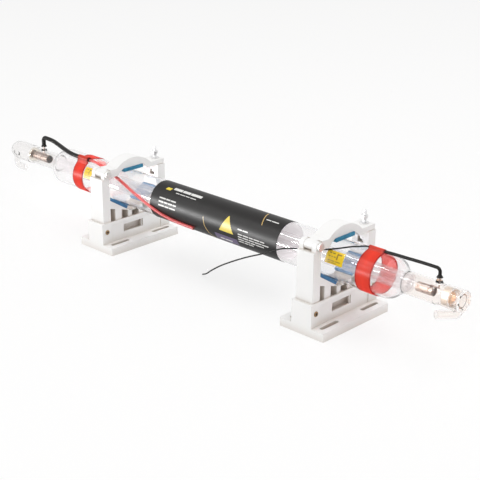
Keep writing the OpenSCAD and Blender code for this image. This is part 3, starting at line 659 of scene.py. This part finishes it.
class Look(Enum):
    """Every finish of the object."""

    JACKET = ClearGlass()
    HEAD = ClearGlass(
        "output_head_glass", (0.975, 0.945, 0.925), (0.66, 0.58, 0.54),
        ends=(
            GroundEnd((1, 0, 0), 0.4029),
            GroundEnd((-math.cos(NOZZLE_FALL), 0.0, -math.sin(NOZZLE_FALL)), -0.3689, 0.0575),
        ),
    )
    DOME = ClearGlass(
        "mirror_end_glass", (0.945, 0.936, 0.932), (0.62, 0.60, 0.59),
        ends=(GroundEnd((1, 0, 0), -0.3772, 0.0575),),
    )
    INNER = ThinGlass("inner_borosilicate")
    WATER = ThinGlass("water_jacket_glass", haze=0.13)
    AMBER = AmberOptic()
    SEAT = Metal("turned_seat", (0.80, 0.72, 0.64), (0.62, 0.52, 0.44), 0.3)
    ELECTRODE = Metal("drawn_electrode", (0.62, 0.52, 0.46), (0.20, 0.12, 0.10), 0.24)
    MIRROR = Metal("mirror_coating", (0.86, 0.82, 0.74), (0.80, 0.75, 0.66), 0.08)
    ZINC = Metal("zinc_plated", (0.76, 0.76, 0.76), (0.70, 0.70, 0.71), 0.34, stretch=(1, 1, 6))
    HINGE = Metal("hinge_steel", (0.84, 0.85, 0.83), (0.72, 0.73, 0.70), 0.42)
    BRONZE = Metal("passivated_steel", (0.50, 0.35, 0.20), (0.25, 0.16, 0.09), 0.26)
    # painted shade: a dark finish for the screw sockets and the wires' cut ends
    SOCKET = Metal("dark_socket", (0.10, 0.08, 0.07), (0.05, 0.04, 0.04), 0.45)
    COPPER = Metal("copper_core", (0.42, 0.20, 0.13), (0.20, 0.10, 0.07), 0.4)
    PLASTIC = MouldedPlastic()
    BLACK = Rubber("black_sleeving", (0.010, 0.0095, 0.009), (0.022, 0.021, 0.02), 0.4, shine=0.12)
    RED = Rubber(
        "red_silicone_lead", (0.90, 0.11, 0.115), (0.95, 0.20, 0.20), 0.28,
        clear=0.46, tint=(1.0, 0.58, 0.55),
    )
    BLUE = Rubber("blue_pad", (0.025, 0.14, 0.31), (0.05, 0.20, 0.38), 0.5, 0.0008, 0.00006)
    TEAL = Rubber("teal_pad", (0.012, 0.19, 0.34), (0.03, 0.27, 0.42), 0.5, 0.0008, 0.00006)
    FRONT_BAND = BandRubber("front_band_elastic", 0.288)
    REAR_BAND = BandRubber("rear_band_elastic", -0.2185)
    FILM = Film("black_print_film", (0.01, 0.009, 0.0085), (0.014, 0.0125, 0.012), 0.42, shine=0.21)
    # painted light: the backing inside the label glows, in place of light led along the glass
    PAINTED_GLOW_BACKING = Film("label_backing", (0.93, 0.90, 0.91), (0.88, 0.84, 0.86), 0.4, glow=0.45)
    WHITE_INK = Film("white_ink", (0.80, 0.80, 0.78), (0.70, 0.70, 0.69), 0.4)
    YELLOW_INK = Film("yellow_ink", (0.86, 0.68, 0.05), (0.80, 0.60, 0.04), 0.4)
    GOLD_INK = Film("gold_ink", (0.66, 0.44, 0.14), (0.58, 0.38, 0.12), 0.35)
    VIOLET_INK = Film("violet_ink", (0.11, 0.075, 0.17), (0.085, 0.06, 0.14), 0.4)
    BROWN_INK = Film("brown_ink", (0.42, 0.27, 0.02), (0.34, 0.21, 0.02), 0.45)
    STICKER = Film("yellow_sticker", (0.98, 0.68, 0.01), (0.92, 0.60, 0.01), 0.35)

    @cache
    def material(self) -> Material:
        """The finish's material, made when it is first asked for."""
        return self.value.make()


# ---------------- mesh work


class Form(Protocol):
    """A shape that can be cut into a mesh."""

    def cut(self, bm: Mesh) -> None:
        """Adds the shape to a mesh."""


def install(piece: Thing) -> None:
    """Puts a piece in the scene and on the part.

    Args:
        piece: The piece.
    """
    bpy.context.scene.collection.objects.link(piece)
    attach(piece, "root")
    log.info("%s is in place", piece.name)


def make_piece(
    bm: Mesh, name: str, look: Look, smooth_deg: float = 35.0
) -> Thing:
    """Makes the object of a bmesh.

    Args:
        bm: The mesh, in place. It is freed.
        name: The piece's name.
        look: Its finish.
        smooth_deg: Edges flatter than this are shaded smooth.

    Returns:
        The object, at the origin.
    """
    mesh = bpy.data.meshes.new(name)
    bm.to_mesh(mesh)
    bm.free()
    mesh.materials.append(look.material())
    mesh.shade_smooth()
    mesh.set_sharp_from_angle(angle=math.radians(smooth_deg))
    piece = bpy.data.objects.new(name, mesh)
    install(piece)
    return piece


def stand_in(forms: list[Form], name: str, node: str, look: Look) -> Thing:
    """Makes one piece of some forms, in the place of a CAD node.

    Args:
        forms: The forms.
        name: The piece's name.
        node: The node that it replaces.
        look: Its finish.

    Returns:
        The object, at the origin.
    """
    bm = bmesh.new()
    for form in forms:
        form.cut(bm)
    piece = make_piece(bm, name, look, 25)
    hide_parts(node)
    return piece


def turned(
    bm: Mesh,
    profile: list[tuple[float, float]],
    origin: Point,
    axis: Point,
    steps: int = 48,
    closed: bool = False,
) -> None:
    """Spins a profile into the mesh.

    Args:
        bm: The mesh.
        profile: Distance along the axis and radius of each point.
        origin: Where the axis starts.
        axis: The axis.
        steps: Steps of the full turn.
        closed: True where the profile's last point joins its first.
    """
    along = Vector(axis).normalized()
    side = along.orthogonal().normalized()
    start = Vector(origin)
    verts = [bm.verts.new(start + along * s + side * r) for s, r in profile]
    pairs = list(zip(verts, verts[1:] + ([verts[0]] if closed else [])))
    edges = [bm.edges.new(pair) for pair in pairs if pair[0] is not pair[1]]
    bmesh.ops.spin(
        bm, geom=verts + edges, cent=start, axis=along, angle=math.tau, steps=steps,
        use_merge=True,
    )
    bmesh.ops.remove_doubles(bm, verts=bm.verts, dist=1e-7)
    bmesh.ops.recalc_face_normals(bm, faces=bm.faces)


def ring(bm: Mesh, count: int, radius: float, place: Matrix) -> list[Edge]:
    """Adds a ring of edges.

    Args:
        bm: The mesh.
        count: How many corners it has.
        radius: Its radius.
        place: Where it lies.

    Returns:
        The ring's edges.
    """
    made = bmesh.ops.create_circle(bm, segments=count, radius=radius, matrix=place)
    return list(dict.fromkeys(e for v in made["verts"] for e in v.link_edges))


def drawn(bm: Mesh, rim: list[Edge], shift: Point) -> tuple[list[Vert], list[Edge], list[Face]]:
    """Draws a ring of edges out into a band of faces.

    Args:
        bm: The mesh.
        rim: The ring.
        shift: How far the new ring moves.

    Returns:
        The new ring's vertices and edges, and the band's faces.
    """
    made = bmesh.ops.extrude_edge_only(bm, edges=rim)["geom"]
    verts = [g for g in made if isinstance(g, Vert)]
    edges = [g for g in made if isinstance(g, Edge)]
    faces = [g for g in made if isinstance(g, Face)]
    bmesh.ops.translate(bm, vec=shift, verts=verts)
    return verts, [e for e in edges if all(v in verts for v in e.verts)], faces


class Route:
    """A smooth line through chosen points."""

    def __init__(self, points: list[Point], per_span: int = 6) -> None:
        """Samples the line.

        Args:
            points: The points that the line goes through.
            per_span: Samples between two points.
        """
        knots = [Vector(p) for p in points]
        ends = [knots[0] * 2 - knots[1], *knots, knots[-1] * 2 - knots[-2]]
        self.samples: list[Vector] = []
        for span in zip(ends, ends[1:], ends[2:], ends[3:]):
            self.samples += [self.between(span, i / per_span) for i in range(per_span)]
        self.samples.append(knots[-1])

    @staticmethod
    def between(span: tuple[Vector, Vector, Vector, Vector], t: float) -> Vector:
        """Finds a point of the smooth line between the two middle knots of four.

        Args:
            span: The four knots.
            t: Share of the way from the second to the third.

        Returns:
            The point.
        """
        a, b, c, d = span
        bend, twist = 2 * a - 5 * b + 4 * c - d, 3 * b - a - 3 * c + d
        return 0.5 * (2 * b + (c - a) * t + bend * t * t + twist * t**3)

    @property
    def length(self) -> float:
        """Length of the line."""
        return sum((b - a).length for a, b in zip(self.samples, self.samples[1:]))

    @property
    def heading(self) -> Vector:
        """Direction at the line's end."""
        return (self.samples[-1] - self.samples[-2]).normalized()

    def tube(self, name: str, radius: float, look: Look) -> Thing:
        """Makes a round tube along the line.

        Args:
            name: The piece's name.
            radius: The tube's radius.
            look: Its finish.

        Returns:
            The curve object.
        """
        curve = bpy.data.curves.new(name, "CURVE")
        curve.dimensions = "3D"
        curve.bevel_depth = radius
        curve.bevel_resolution = 5
        curve.use_fill_caps = True
        curve.twist_mode = "MINIMUM"
        spline = curve.splines.new("POLY")
        spline.points.add(len(self.samples) - 1)
        for point, place in zip(spline.points, self.samples):
            point.co = (*place, 1)
        spline.use_smooth = True
        curve.materials.append(look.material())
        piece = bpy.data.objects.new(name, curve)
        install(piece)
        return piece


def beside(x: float, angle: float, ride: float) -> Point:
    """A point beside the tube.

    Args:
        x: Station along the tube, in millimetres.
        angle: Angle above the near side, in degrees.
        ride: Distance from the tube's axis, in millimetres.

    Returns:
        The point, in metres.
    """
    a = math.radians(angle)
    return (x * MM, -ride * math.cos(a) * MM, AXIS_H + ride * math.sin(a) * MM)


def metres(points: list[Point]) -> list[Point]:
    """Turns millimetres into metres."""
    return [(x * MM, y * MM, z * MM) for x, y, z in points]


# ---------------- leads


@dataclass
class Lead:
    """One electrode's lead: a sleeve from the boot to the band, and the wire beyond it.

    The dark ring at the cut end, which is painted shade, and the strands are sized as shares of the
    wire's diameter.
    """

    electrode: str
    title: str
    sleeve_route: list[Point]
    lead_route: list[Point]
    sleeve_d: float
    lead_d: float
    stiffness: str
    look: Look
    slot: Slot
    layer_r: float = 0.36
    layer_bore: float = 0.27
    strand_r: float = 0.09
    strands_out: float = 0.0005

    def build(self) -> None:
        """Lays the sleeve and the wire."""
        sleeve = Route(self.sleeve_route).tube(
            f"{self.electrode}_sleeving", self.sleeve_d / 2, Look.BLACK
        )
        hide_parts(f"{self.electrode}_sleeve")
        route = Route(self.lead_route)
        wire = route.tube(f"{self.title}_wire", self.lead_d / 2, self.look)
        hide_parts(f"{self.title}_lead")
        route.length
        self.strands(route)
        self.inner_layer(route)

    def inner_layer(self, route: Route) -> Thing:
        """Makes the dark ring round the strands, flush with the cut end: painted shade in the
        wire's end.

        Args:
            route: The wire's line.

        Returns:
            The ring as one piece.
        """
        outer, inner = self.lead_d * self.layer_r, self.lead_d * self.layer_bore
        back, proud = -0.001, 0.00004
        bm = bmesh.new()
        profile = [(back, outer), (proud, outer), (proud, inner), (back, inner)]
        turned(bm, profile, route.samples[-1], route.heading, ROUND, closed=True)
        # the ring takes the dark finish that is painted shade
        return make_piece(bm, f"{self.title}_wire_inner_layer", Look.SOCKET)

    def strands(self, route: Route) -> Thing:
        """Makes the strands that show at the cut end: one in the middle of six.

        Args:
            route: The wire's line.

        Returns:
            The strands as one piece.
        """
        bm = bmesh.new()
        tip, way = route.samples[-1], route.heading
        side = way.orthogonal().normalized()
        radius = self.lead_d * self.strand_r
        for i in range(7):
            turn = Matrix.Rotation(i * math.tau / 6, 3, way)
            centre = tip + (turn @ side) * radius * 2 * (0 if i == 6 else 1)
            reach = self.strands_out * (1 + 0.1 * (i % 3))
            profile = [(-0.002, 0), (-0.002, radius), (reach, radius), (reach + radius / 2, 0)]
            turned(bm, profile, centre, way, 8)
        return make_piece(bm, f"{self.title}_wire_strands", Look.COPPER)


CATHODE_LEAD = Lead(
    "cathode", "black",
    sleeve_route=metres([
        (367.5, 0, 104.9), (363, 0, 104.9), (356, 0, 104.9), (348, 0, 104.8), (338, 0, 104.5),
        (328, 0, 104.2), (318, 0, 104), (309, 0, 103.7), (303, 0, 103.4), (297, 0, 103.2),
        (290, 0, 103.2), (281, 0, 103.2),
    ]),
    lead_route=metres([
        (281, 0, 103.2), (277, 0, 103.2), (272, -1, 102.8), (265, -5.5, 101.8), (257, -10.4, 100.4),
        (247, -15.6, 97.5), (235, -19.7, 94.1), (221, -22.4, 90.6), (206, -24.2, 87.3),
        (192, -25.5, 84.2), (180, -26.2, 81.8), (170, -26.8, 78.6), (160, -27, 74.2),
        (149, -27.6, 68.4), (136, -28.8, 62.4), (120, -30, 55.4), (104, -30.4, 47.6),
        (86, -30.4, 38), (69, -30, 28.2), (53, -29, 17.4), (40, -26, 8), (27, -20, 1.4),
    ]),
    sleeve_d=0.0038, lead_d=0.0018, stiffness="medium", look=Look.BLACK, slot=Slot.BLACK_RUBBER,
)
ANODE_LEAD = Lead(
    "anode", "red",
    sleeve_route=metres([
        (-323.5, 0, 107.5), (-318, 0, 107.5), (-311, -0.5, 107.4), (-303, -1.2, 107),
        (-294, -2.4, 105.9), (-285, -4.1, 104.9), (-275, -6.2, 104), (-264, -8.6, 103.1),
        (-253, -10.6, 102.4), (-242, -11.7, 101.9),
    ]) + [beside(-231, 65, 28.1), beside(-218, 65, 28.1), beside(-206.25, 65, 28.1)],
    lead_route=[beside(*stop) for stop in (
        (-206.25, 65, 28.1), (-202, 65, 28.1), (-195, 65, 27.8), (-187, 63.5, 27.3),
        (-177, 60, 27.3), (-166, 54.5, 27.3), (-155, 49, 27.3), (-144, 43.5, 27.3),
        (-132, 37, 27.3), (-119, 29.5, 27.3), (-106, 21, 27.3), (-94, 13.5, 27.3),
        (-82, 5.5, 27.5), (-70, -2.5, 27.5), (-58, -10.5, 27.6), (-45, -19, 27.6),
        (-31, -25.5, 27.6), (-16, -29, 27.6), (0, -30.5, 27.6), (15, -31, 27.6),
    )],
    sleeve_d=0.006, lead_d=0.004, stiffness="stiff", look=Look.RED, slot=Slot.RED_RUBBER,
)


# ---------------- label and bands


FACET_DEG = 3
DASH_GAP = 1.1


@dataclass(frozen=True)
class Patch:
    """A four-cornered field of print on the round sleeve.

    Each corner is a station in millimetres and an angle above the near side in degrees.
    """

    corners: tuple[tuple[float, float], ...]

    @classmethod
    def bar(cls, x0: float, x1: float, low: float, high: float) -> "Patch":
        """A bar between two stations and two angles."""
        return cls(((x0, low), (x1, low), (x1, high), (x0, high)))

    def cut(self, bm: Mesh, radius: float) -> None:
        """Adds the patch to a mesh.

        Args:
            bm: The mesh.
            radius: Radius that the patch lies at, in metres.
        """
        a, b, c, d = self.corners
        rows = max(1, math.ceil(max(abs(a[1] - d[1]), abs(b[1] - c[1])) / FACET_DEG))
        made = bmesh.ops.create_grid(bm, x_segments=4, y_segments=rows, size=0.5)
        for vert in made["verts"]:
            u, v = vert.co.x + 0.5, vert.co.y + 0.5
            low = [p + (q - p) * u for p, q in zip(a, b)]
            high = [p + (q - p) * u for p, q in zip(d, c)]
            x, angle = [p + (q - p) * v for p, q in zip(low, high)]
            vert.co = beside(x, angle, radius / MM)
        for face in {f for vert in made["verts"] for f in vert.link_faces}:
            face.normal_update()
            middle = face.calc_center_median()
            if face.normal.dot(middle - Vector((middle.x, 0, AXIS_H))) < 0:
                face.normal_flip()


def words(x0: float, x1: float, angle: float, tall: float, cuts: tuple[float, ...]) -> list[Patch]:
    """A line of plain dashes, as long as a line of print.

    Args:
        x0: Station where the line starts.
        x1: Station where it ends.
        angle: Angle of its middle above the near side.
        tall: Height of the dashes, in degrees.
        cuts: Shares of the line's length at which a gap stands.

    Returns:
        The dashes.
    """
    stops = [x0, *[x0 + (x1 - x0) * c for c in cuts], x1 + DASH_GAP]
    low, high = angle - tall / 2, angle + tall / 2
    return [Patch.bar(a, b - DASH_GAP, low, high) for a, b in zip(stops, stops[1:])]


@dataclass
class Label:
    """Black film sleeve round the middle of the glass, with plain fields of print."""

    x0: float = -66.5
    x1: float = 158.5
    inner: float = 25.02
    thick: float = 0.25
    soft: float = 0.06
    lift: float = 0.035

    def build(self) -> None:
        """Builds the sleeve and its print."""
        outer, long = self.inner + self.thick, self.x1 - self.x0
        profile = [
            (0, self.inner), (long, self.inner), (long, outer - self.soft),
            (long - self.soft, outer), (self.soft, outer), (0, outer - self.soft),
        ]
        bm = bmesh.new()
        turned(
            bm, [(s * MM, r * MM) for s, r in profile], (self.x0 * MM, 0, AXIS_H), (1, 0, 0), 160,
            closed=True,
        )
        for face in bm.faces:
            _, y, z = face.calc_center_median()
            if math.hypot(y, z - AXIS_H) < (self.inner + 0.02) * MM:
                face.material_index = 1
        sleeve = make_piece(bm, "label_film", Look.FILM)
        # the inner faces take the backing, whose glow is painted light
        sleeve.data.materials.append(Look.PAINTED_GLOW_BACKING.material())
        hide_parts("label_sleeve")
        for ink, patches in self.print_plan().items():
            under = 0.5 if ink is Look.VIOLET_INK else 1
            bm = bmesh.new()
            for patch in patches:
                patch.cut(bm, (outer + self.lift * under) * MM)
            colour = ink.name.removesuffix("_INK").lower()
            make_piece(bm, f"label_{colour}_print", ink)

    def print_plan(self) -> dict[Look, list[Patch]]:
        """Lists the fields of each ink; the violet one lies under the white.

        Returns:
            The fields by ink.
        """
        white = [
            *words(-35, 16, 69, 9.5, (0.33, 0.62)),
            *words(-27, 10, 55.5, 2.6, (0.2, 0.5, 0.72)),
            *words(-50, -19, 28, 4.2, (0.42, 0.7)),
            *words(-50, -17, 17, 4.2, (0.3, 0.55, 0.8)),
            *words(-50, -18, 5.5, 4.2, (0.38, 0.66)),
            *words(94, 111, 14, 3.6, (0.5,)),
            *words(95, 139, 0.5, 3.2, (0.2, 0.42, 0.6, 0.85)),
            *words(95, 146, -7, 3.2, (0.15, 0.36, 0.55, 0.8)),
            *words(95, 138, -14.5, 3.2, (0.25, 0.5, 0.7)),
            *words(95, 120, -22, 3.2, (0.4, 0.7)),
            *words(128, 148, 68, 3.4, (0.45,)),
            *words(61, 82, -35, 4.4, (0.4,)),
        ]
        yellow = [
            Patch(((-47.5, 57.5), (-39, 57.5), (-37.5, 67), (-46, 67))),
            Patch(((62.5, -6), (87, -6.5), (75.2, 41), (74, 41))),
        ]
        gold = [
            Patch(((46.5, -50), (47.7, -50), (41.4, -32), (40.2, -32))),
            Patch(((40.2, -32), (41.4, -32), (36.6, -8), (35.4, -8))),
            Patch(((35.4, -8), (36.6, -8), (33.6, 16), (32.8, 16))),
            Patch(((127, 46), (128.2, 46), (123.9, 72), (122.7, 72))),
            Patch(((122.7, 72), (123.9, 72), (119.6, 100), (118.4, 100))),
        ]
        return {
            Look.WHITE_INK: white,
            Look.YELLOW_INK: yellow,
            Look.GOLD_INK: gold,
            Look.VIOLET_INK: [Patch.bar(53, 92, -44, -20)],
        }


@dataclass
class Sticker:
    """Yellow sticker on the near side of the glass, with plain dark fields."""

    node: str
    centre: float
    width: float
    outer: float = 25.17
    lift: float = 0.03

    def build(self) -> None:
        """Dresses the film and adds its dark fields."""
        dress([self.node], Look.STICKER)
        x, half = self.centre, self.width / 2
        plan = [
            *words(x - half * 0.7, x - half * 0.05, 37, 3.2, (0.5,)),
            Patch.bar(x + half * 0.18, x + half * 0.34, 22, 39),
            Patch.bar(x + half * 0.34, x + half * 0.7, 35, 38.5),
            *words(x - half * 0.7, x + half * 0.1, 28, 2.6, (0.35, 0.7)),
            *words(x - half * 0.7, x + half * 0.72, 17, 2.4, (0.3, 0.6)),
            *words(x - half * 0.7, x + half * 0.3, 12, 1.8, (0.45,)),
        ]
        bm = bmesh.new()
        for patch in plan:
            patch.cut(bm, (self.outer + self.lift) * MM)
        make_piece(bm, f"{self.node}_print", Look.BROWN_INK)


def dress(nodes: list[str], look: Look) -> None:
    """Gives CAD nodes a finish.

    Args:
        nodes: The nodes' names.
        look: The finish.
    """
    for name in nodes:
        slots = frame["nodes"][name].data.materials
        slots.clear()
        slots.append(look.material())
        log.info("%s: %s", name, look.name)


# ---------------- glass and supports


GLASS_LOOKS = {
    Look.JACKET: ["gas_jacket"],
    Look.HEAD: ["front_head", "cooling_spool"],
    Look.DOME: ["rear_head"],
    Look.WATER: ["water_jacket"],
    Look.INNER: ["discharge_bore", "gas_return_tube"],
    Look.SEAT: ["coupler_seat"],
    Look.AMBER: ["output_coupler"],
    Look.ELECTRODE: ["cathode", "cathode_pin", "anode", "anode_pin"],
    Look.MIRROR: ["rear_mirror"],
    Look.BLACK: ["cathode_boot", "anode_boot"],
    Look.FRONT_BAND: ["front_band"],
    Look.REAR_BAND: ["rear_band"],
}


@dataclass(frozen=True)
class LockScrew:
    """A screw's head with a chamfered rim and a hexagon socket, facing +X; the socket's dark finish
    is painted shade.
    """

    centre: Point
    radius: float = 0.0032
    chamfer: float = 0.0003
    socket_r: float = 0.0019
    depth: float = 0.0007

    def cut(self, bm: Mesh) -> None:
        """Adds the head to a mesh, with its socket in the second material, a dark one that is
        painted shade.

        Args:
            bm: The mesh.
        """
        face = Matrix.Translation(self.centre) @ Matrix.Rotation(math.radians(90), 4, "Y")
        flat_r = self.radius - self.chamfer
        rim = ring(bm, ROUND, flat_r, face)
        hexagon = ring(bm, HEX, self.socket_r, face)
        bmesh.ops.bridge_loops(bm, edges=rim + hexagon)
        deep, _, walls = drawn(bm, hexagon, (-self.depth, 0, 0))
        # the socket's walls and floor take the dark second material: painted shade
        for dark in bmesh.ops.contextual_create(bm, geom=deep)["faces"] + walls:
            dark.material_index = 1
        outer, edge, _ = drawn(bm, rim, (-self.chamfer, 0, 0))
        grow = self.radius / flat_r
        middle = Matrix.Translation(-Vector(self.centre))
        bmesh.ops.scale(bm, vec=(1, grow, grow), space=middle, verts=outer)
        drawn(bm, edge, (-self.depth, 0, 0))
        bmesh.ops.recalc_face_normals(bm, faces=bm.faces)


@dataclass(frozen=True)
class Stud:
    """A threaded stud."""

    foot: Point
    length: float
    radius: float = 0.0025
    pitch: float = 0.0008
    depth: float = 0.0004
    plain: float = 0.0004
    point: float = 0.0005

    def cut(self, bm: Mesh) -> None:
        """Turns the stud, with its thread as rings.

        Args:
            bm: The mesh.
        """
        root = self.radius - self.depth
        profile = [(0.0, 0.0), (0.0, root)]
        for i in range(int((self.length - 3 * self.plain) / self.pitch)):
            start = self.plain + i * self.pitch
            profile += [(start, root), (start + self.pitch / 2, self.radius)]
        tip = self.length - self.point
        profile += [(tip, root), (self.length, root - self.depth), (self.length, 0.0)]
        turned(bm, profile, self.foot, (0, 0, 1), 32)


@dataclass(frozen=True)
class HexNut:
    """A hexagon nut with chamfered corners."""

    foot: Point
    flats: float = 0.008
    thick: float = 0.004
    bore_r: float = 0.00255
    chamfer: float = 0.00035

    def cut(self, bm: Mesh) -> None:
        """Adds the nut to a mesh.

        Args:
            bm: The mesh.
        """
        turn = math.radians(30)
        corner = self.flats / 2 / math.cos(turn)
        place = Matrix.Translation(self.foot) @ Matrix.Rotation(turn, 4, "Z")
        rims = ring(bm, HEX, corner, place) + ring(bm, ROUND, self.bore_r, place)
        flat = bmesh.ops.bridge_loops(bm, edges=rims)["faces"]
        up = bmesh.ops.extrude_face_region(bm, geom=flat, use_keep_orig=True)["geom"]
        top = [g for g in up if isinstance(g, Vert)]
        bmesh.ops.translate(bm, vec=(0, 0, self.thick), verts=top)
        bmesh.ops.recalc_face_normals(bm, faces=bm.faces)
        centre = Vector(self.foot).xy
        rim = [
            e for e in bm.edges
            if abs(e.verts[0].co.z - e.verts[1].co.z) < 1e-6
            and all((v.co.xy - centre).length > corner * 0.95 for v in e.verts)
        ]
        bmesh.ops.bevel(
            bm, geom=rim, offset=self.chamfer, offset_type="OFFSET", segments=2, profile=0.5,
            affect="EDGES", material=-1,
        )


@dataclass
class Support:
    """One support: foot, cradle, hinged arch, pads and fasteners."""

    name: str
    x: float
    stud_y: float = 0.049
    stud_foot: float = 0.080
    stud_top: float = 0.123
    nut_z: float = 0.113
    captive_z: float = 0.08745
    screw_face: float = 0.01605
    screw_y: float = 0.052
    screw_z: float = 0.027

    def build(self) -> None:
        """Dresses the solids and cuts the fasteners."""
        part, x, y = self.name, self.x, self.stud_y
        dress([f"{part}_foot", f"{part}_cradle", f"{part}_arch"], Look.PLASTIC)
        dress([f"{part}_washer"], Look.ZINC)
        dress([f"{part}_hinge_pin"], Look.HINGE)
        dress([f"{part}_near_pad", f"{part}_far_pad"], Look.BLUE)
        dress([f"{part}_top_pad"], Look.TEAL)
        heads = [(x + self.screw_face, side * self.screw_y, self.screw_z) for side in (-1, 1)]
        screws = stand_in(
            [LockScrew(head) for head in heads],
            f"{part}_socket_screws", f"{part}_lock_screws", Look.BRONZE,
        )
        # second material of the screws: dark painted shade for the sockets
        screws.data.materials.append(Look.SOCKET.material())
        stud = Stud((x, y, self.stud_foot), self.stud_top - self.stud_foot)
        stand_in([stud], f"{part}_clamp_stud", f"{part}_stud", Look.ZINC)
        for node, z in ((f"{part}_nut", self.nut_z), (f"{part}_captive_nut", self.captive_z)):
            stand_in([HexNut((x, y, z))], f"{node}_cut", node, Look.ZINC)


# ---------------- bench, light and camera


@dataclass(frozen=True)
class Lamp:
    """A soft rectangular lamp; one that is sheen only shows as a reflection and no more."""

    name: str
    place: Point
    target: Point
    size: tuple[float, float]
    watts: float
    sheen_only: bool = False

    def hang(self) -> None:
        """Adds the lamp to the scene."""
        data = bpy.data.lights.new(self.name, "AREA")
        data.shape = "RECTANGLE"
        data.size, data.size_y = self.size
        data.energy = self.watts
        lamp = bpy.data.objects.new(self.name, data)
        lamp.visible_camera = False
        lamp.visible_diffuse = not self.sheen_only
        lamp.visible_transmission = not self.sheen_only
        aim = (Vector(self.target) - Vector(self.place)).to_track_quat("-Z", "Y")
        lamp.matrix_world = Matrix.Translation(self.place) @ aim.to_matrix().to_4x4()
        bpy.context.scene.collection.objects.link(lamp)


LAMPS = (
    Lamp("front_softbox", (-0.3, -1.9, 0.24), (0.0, 0.0, 0.06), (2.4, 0.36), 2.3),
    Lamp("key_softbox", (-1.1, -1.5, 1.7), (0.0, 0.0, 0.07), (1.6, 1.2), 7.0),
    Lamp("top_softbox", (0.6, 0.2, 2.2), (0.0, 0.0, 0.0), (2.2, 1.6), 18.5),
    Lamp("low_strip", (-0.48, -0.62, 0.035), (-0.1, 0.0, 0.076), (0.5, 0.12), 13.6, True),
    Lamp("high_strip", (0.0, -0.9, 1.32), (0.0, 0.0, 0.076), (2.4, 0.10), 16.0, True),
    Lamp("band_strip", (-0.375, -0.87, 0.576), (0.288, 0.0, 0.09), (0.35, 0.05), 2.0, True),
)


@dataclass
class Studio:
    """Pale floor, soft light and the camera."""

    eye: Point = (0.9916, -0.9404, 0.5663)
    turn: tuple[float, float, float] = (68.77, 0.14, 44.29)
    lens: float = 84.51
    sensor: float = 36.0
    far_clip: float = 60.0
    floor_half: float = 12.0
    floor_grey: float = 0.95
    floor_glow: float = 0.72
    sky: float = 0.68
    bounces: int = 32

    def build(self) -> None:
        """Sets up the camera, floor, world, lamps and light paths."""
        self.camera()
        self.floor()
        self.world()
        for lamp in LAMPS:
            lamp.hang()
        scene = bpy.context.scene
        scene.view_settings.view_transform = "Standard"
        scene.cycles.max_bounces = self.bounces
        scene.cycles.transmission_bounces = self.bounces
        scene.cycles.transparent_max_bounces = self.bounces

    def camera(self) -> None:
        """Places the camera."""
        data = bpy.data.cameras.new("camera")
        data.lens = self.lens
        data.sensor_width = self.sensor
        data.sensor_fit = "HORIZONTAL"
        data.clip_end = self.far_clip
        camera = bpy.data.objects.new("camera", data)
        tilt, roll, turn = (math.radians(a) for a in self.turn)
        camera.matrix_world = (
            Matrix.Translation(self.eye)
            @ Matrix.Rotation(turn, 4, "Z")
            @ Matrix.Rotation(tilt, 4, "X")
            @ Matrix.Rotation(roll, 4, "Z")
        )
        bpy.context.scene.collection.objects.link(camera)
        bpy.context.scene.camera = camera

    def floor(self) -> None:
        """Lays the floor: white to the eye, with a faint shadow."""
        bm = bmesh.new()
        bmesh.ops.create_grid(bm, x_segments=1, y_segments=1, size=self.floor_half)
        mesh = bpy.data.meshes.new("floor")
        bm.to_mesh(mesh)
        bm.free()
        b = Bench("floor_white")
        paint = b.add("ShaderNodeBsdfDiffuse", Color=(*[self.floor_grey] * 3, 1))
        glow = b.add("ShaderNodeEmission", Color=(1, 1, 1, 1), Strength=1.0)
        bright = b.blend(self.floor_glow, paint, glow)
        mesh.materials.append(b.finish(b.blend(self.seen(b), paint, bright)))
        floor = bpy.data.objects.new("floor", mesh)
        bpy.context.scene.collection.objects.link(floor)
        floor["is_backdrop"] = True

    @staticmethod
    def seen(b: Bench) -> Socket:
        """A value of 1 for rays by which the background is seen.

        Args:
            b: The material or world being laid out.

        Returns:
            The value's socket.
        """
        rays = b.add("ShaderNodeLightPath").outputs
        direct = b.calculate("MAXIMUM", rays["Is Camera Ray"], rays["Is Glossy Ray"])
        return b.calculate("MAXIMUM", direct, rays["Is Transmission Ray"])

    def world(self) -> None:
        """Sets a white surround that lights evenly."""
        b = Bench("white_surround", surround=True)
        light = b.add("ShaderNodeBackground", Color=(1.0, 0.99, 0.98, 1), Strength=self.sky)
        white = b.add("ShaderNodeBackground", Color=(1, 1, 1, 1), Strength=1.0)
        bpy.context.scene.world = b.finish(b.blend(self.seen(b), light, white))


def clear_start() -> None:
    """Removes whatever the scene held before the part came in."""
    kept = set(frame["nodes"].values()) | set(frame["bodies"].values())
    for thing in list(bpy.data.objects):
        if thing not in kept:
            bpy.data.objects.remove(thing)


def corners() -> list[list[float]]:
    """The whole object's box as plain numbers."""
    return [[round(float(v), 6) for v in corner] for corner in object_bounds()]


def main() -> None:
    """Builds the scene in order."""
    logging.basicConfig(level=logging.INFO, format="%(name)s: %(message)s")
    clear_start()
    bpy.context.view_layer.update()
    Studio().build()
    for lead in (CATHODE_LEAD, ANODE_LEAD):
        lead.build()
    for look, nodes in GLASS_LOOKS.items():
        dress(nodes, look)
    Label().build()
    Sticker("front_sticker", 245.5, 25).build()
    Sticker("rear_sticker", -198, 16).build()
    Support("front", 0.230).build()
    Support("rear", -0.139).build()


if __name__ == "__main__":
    main()
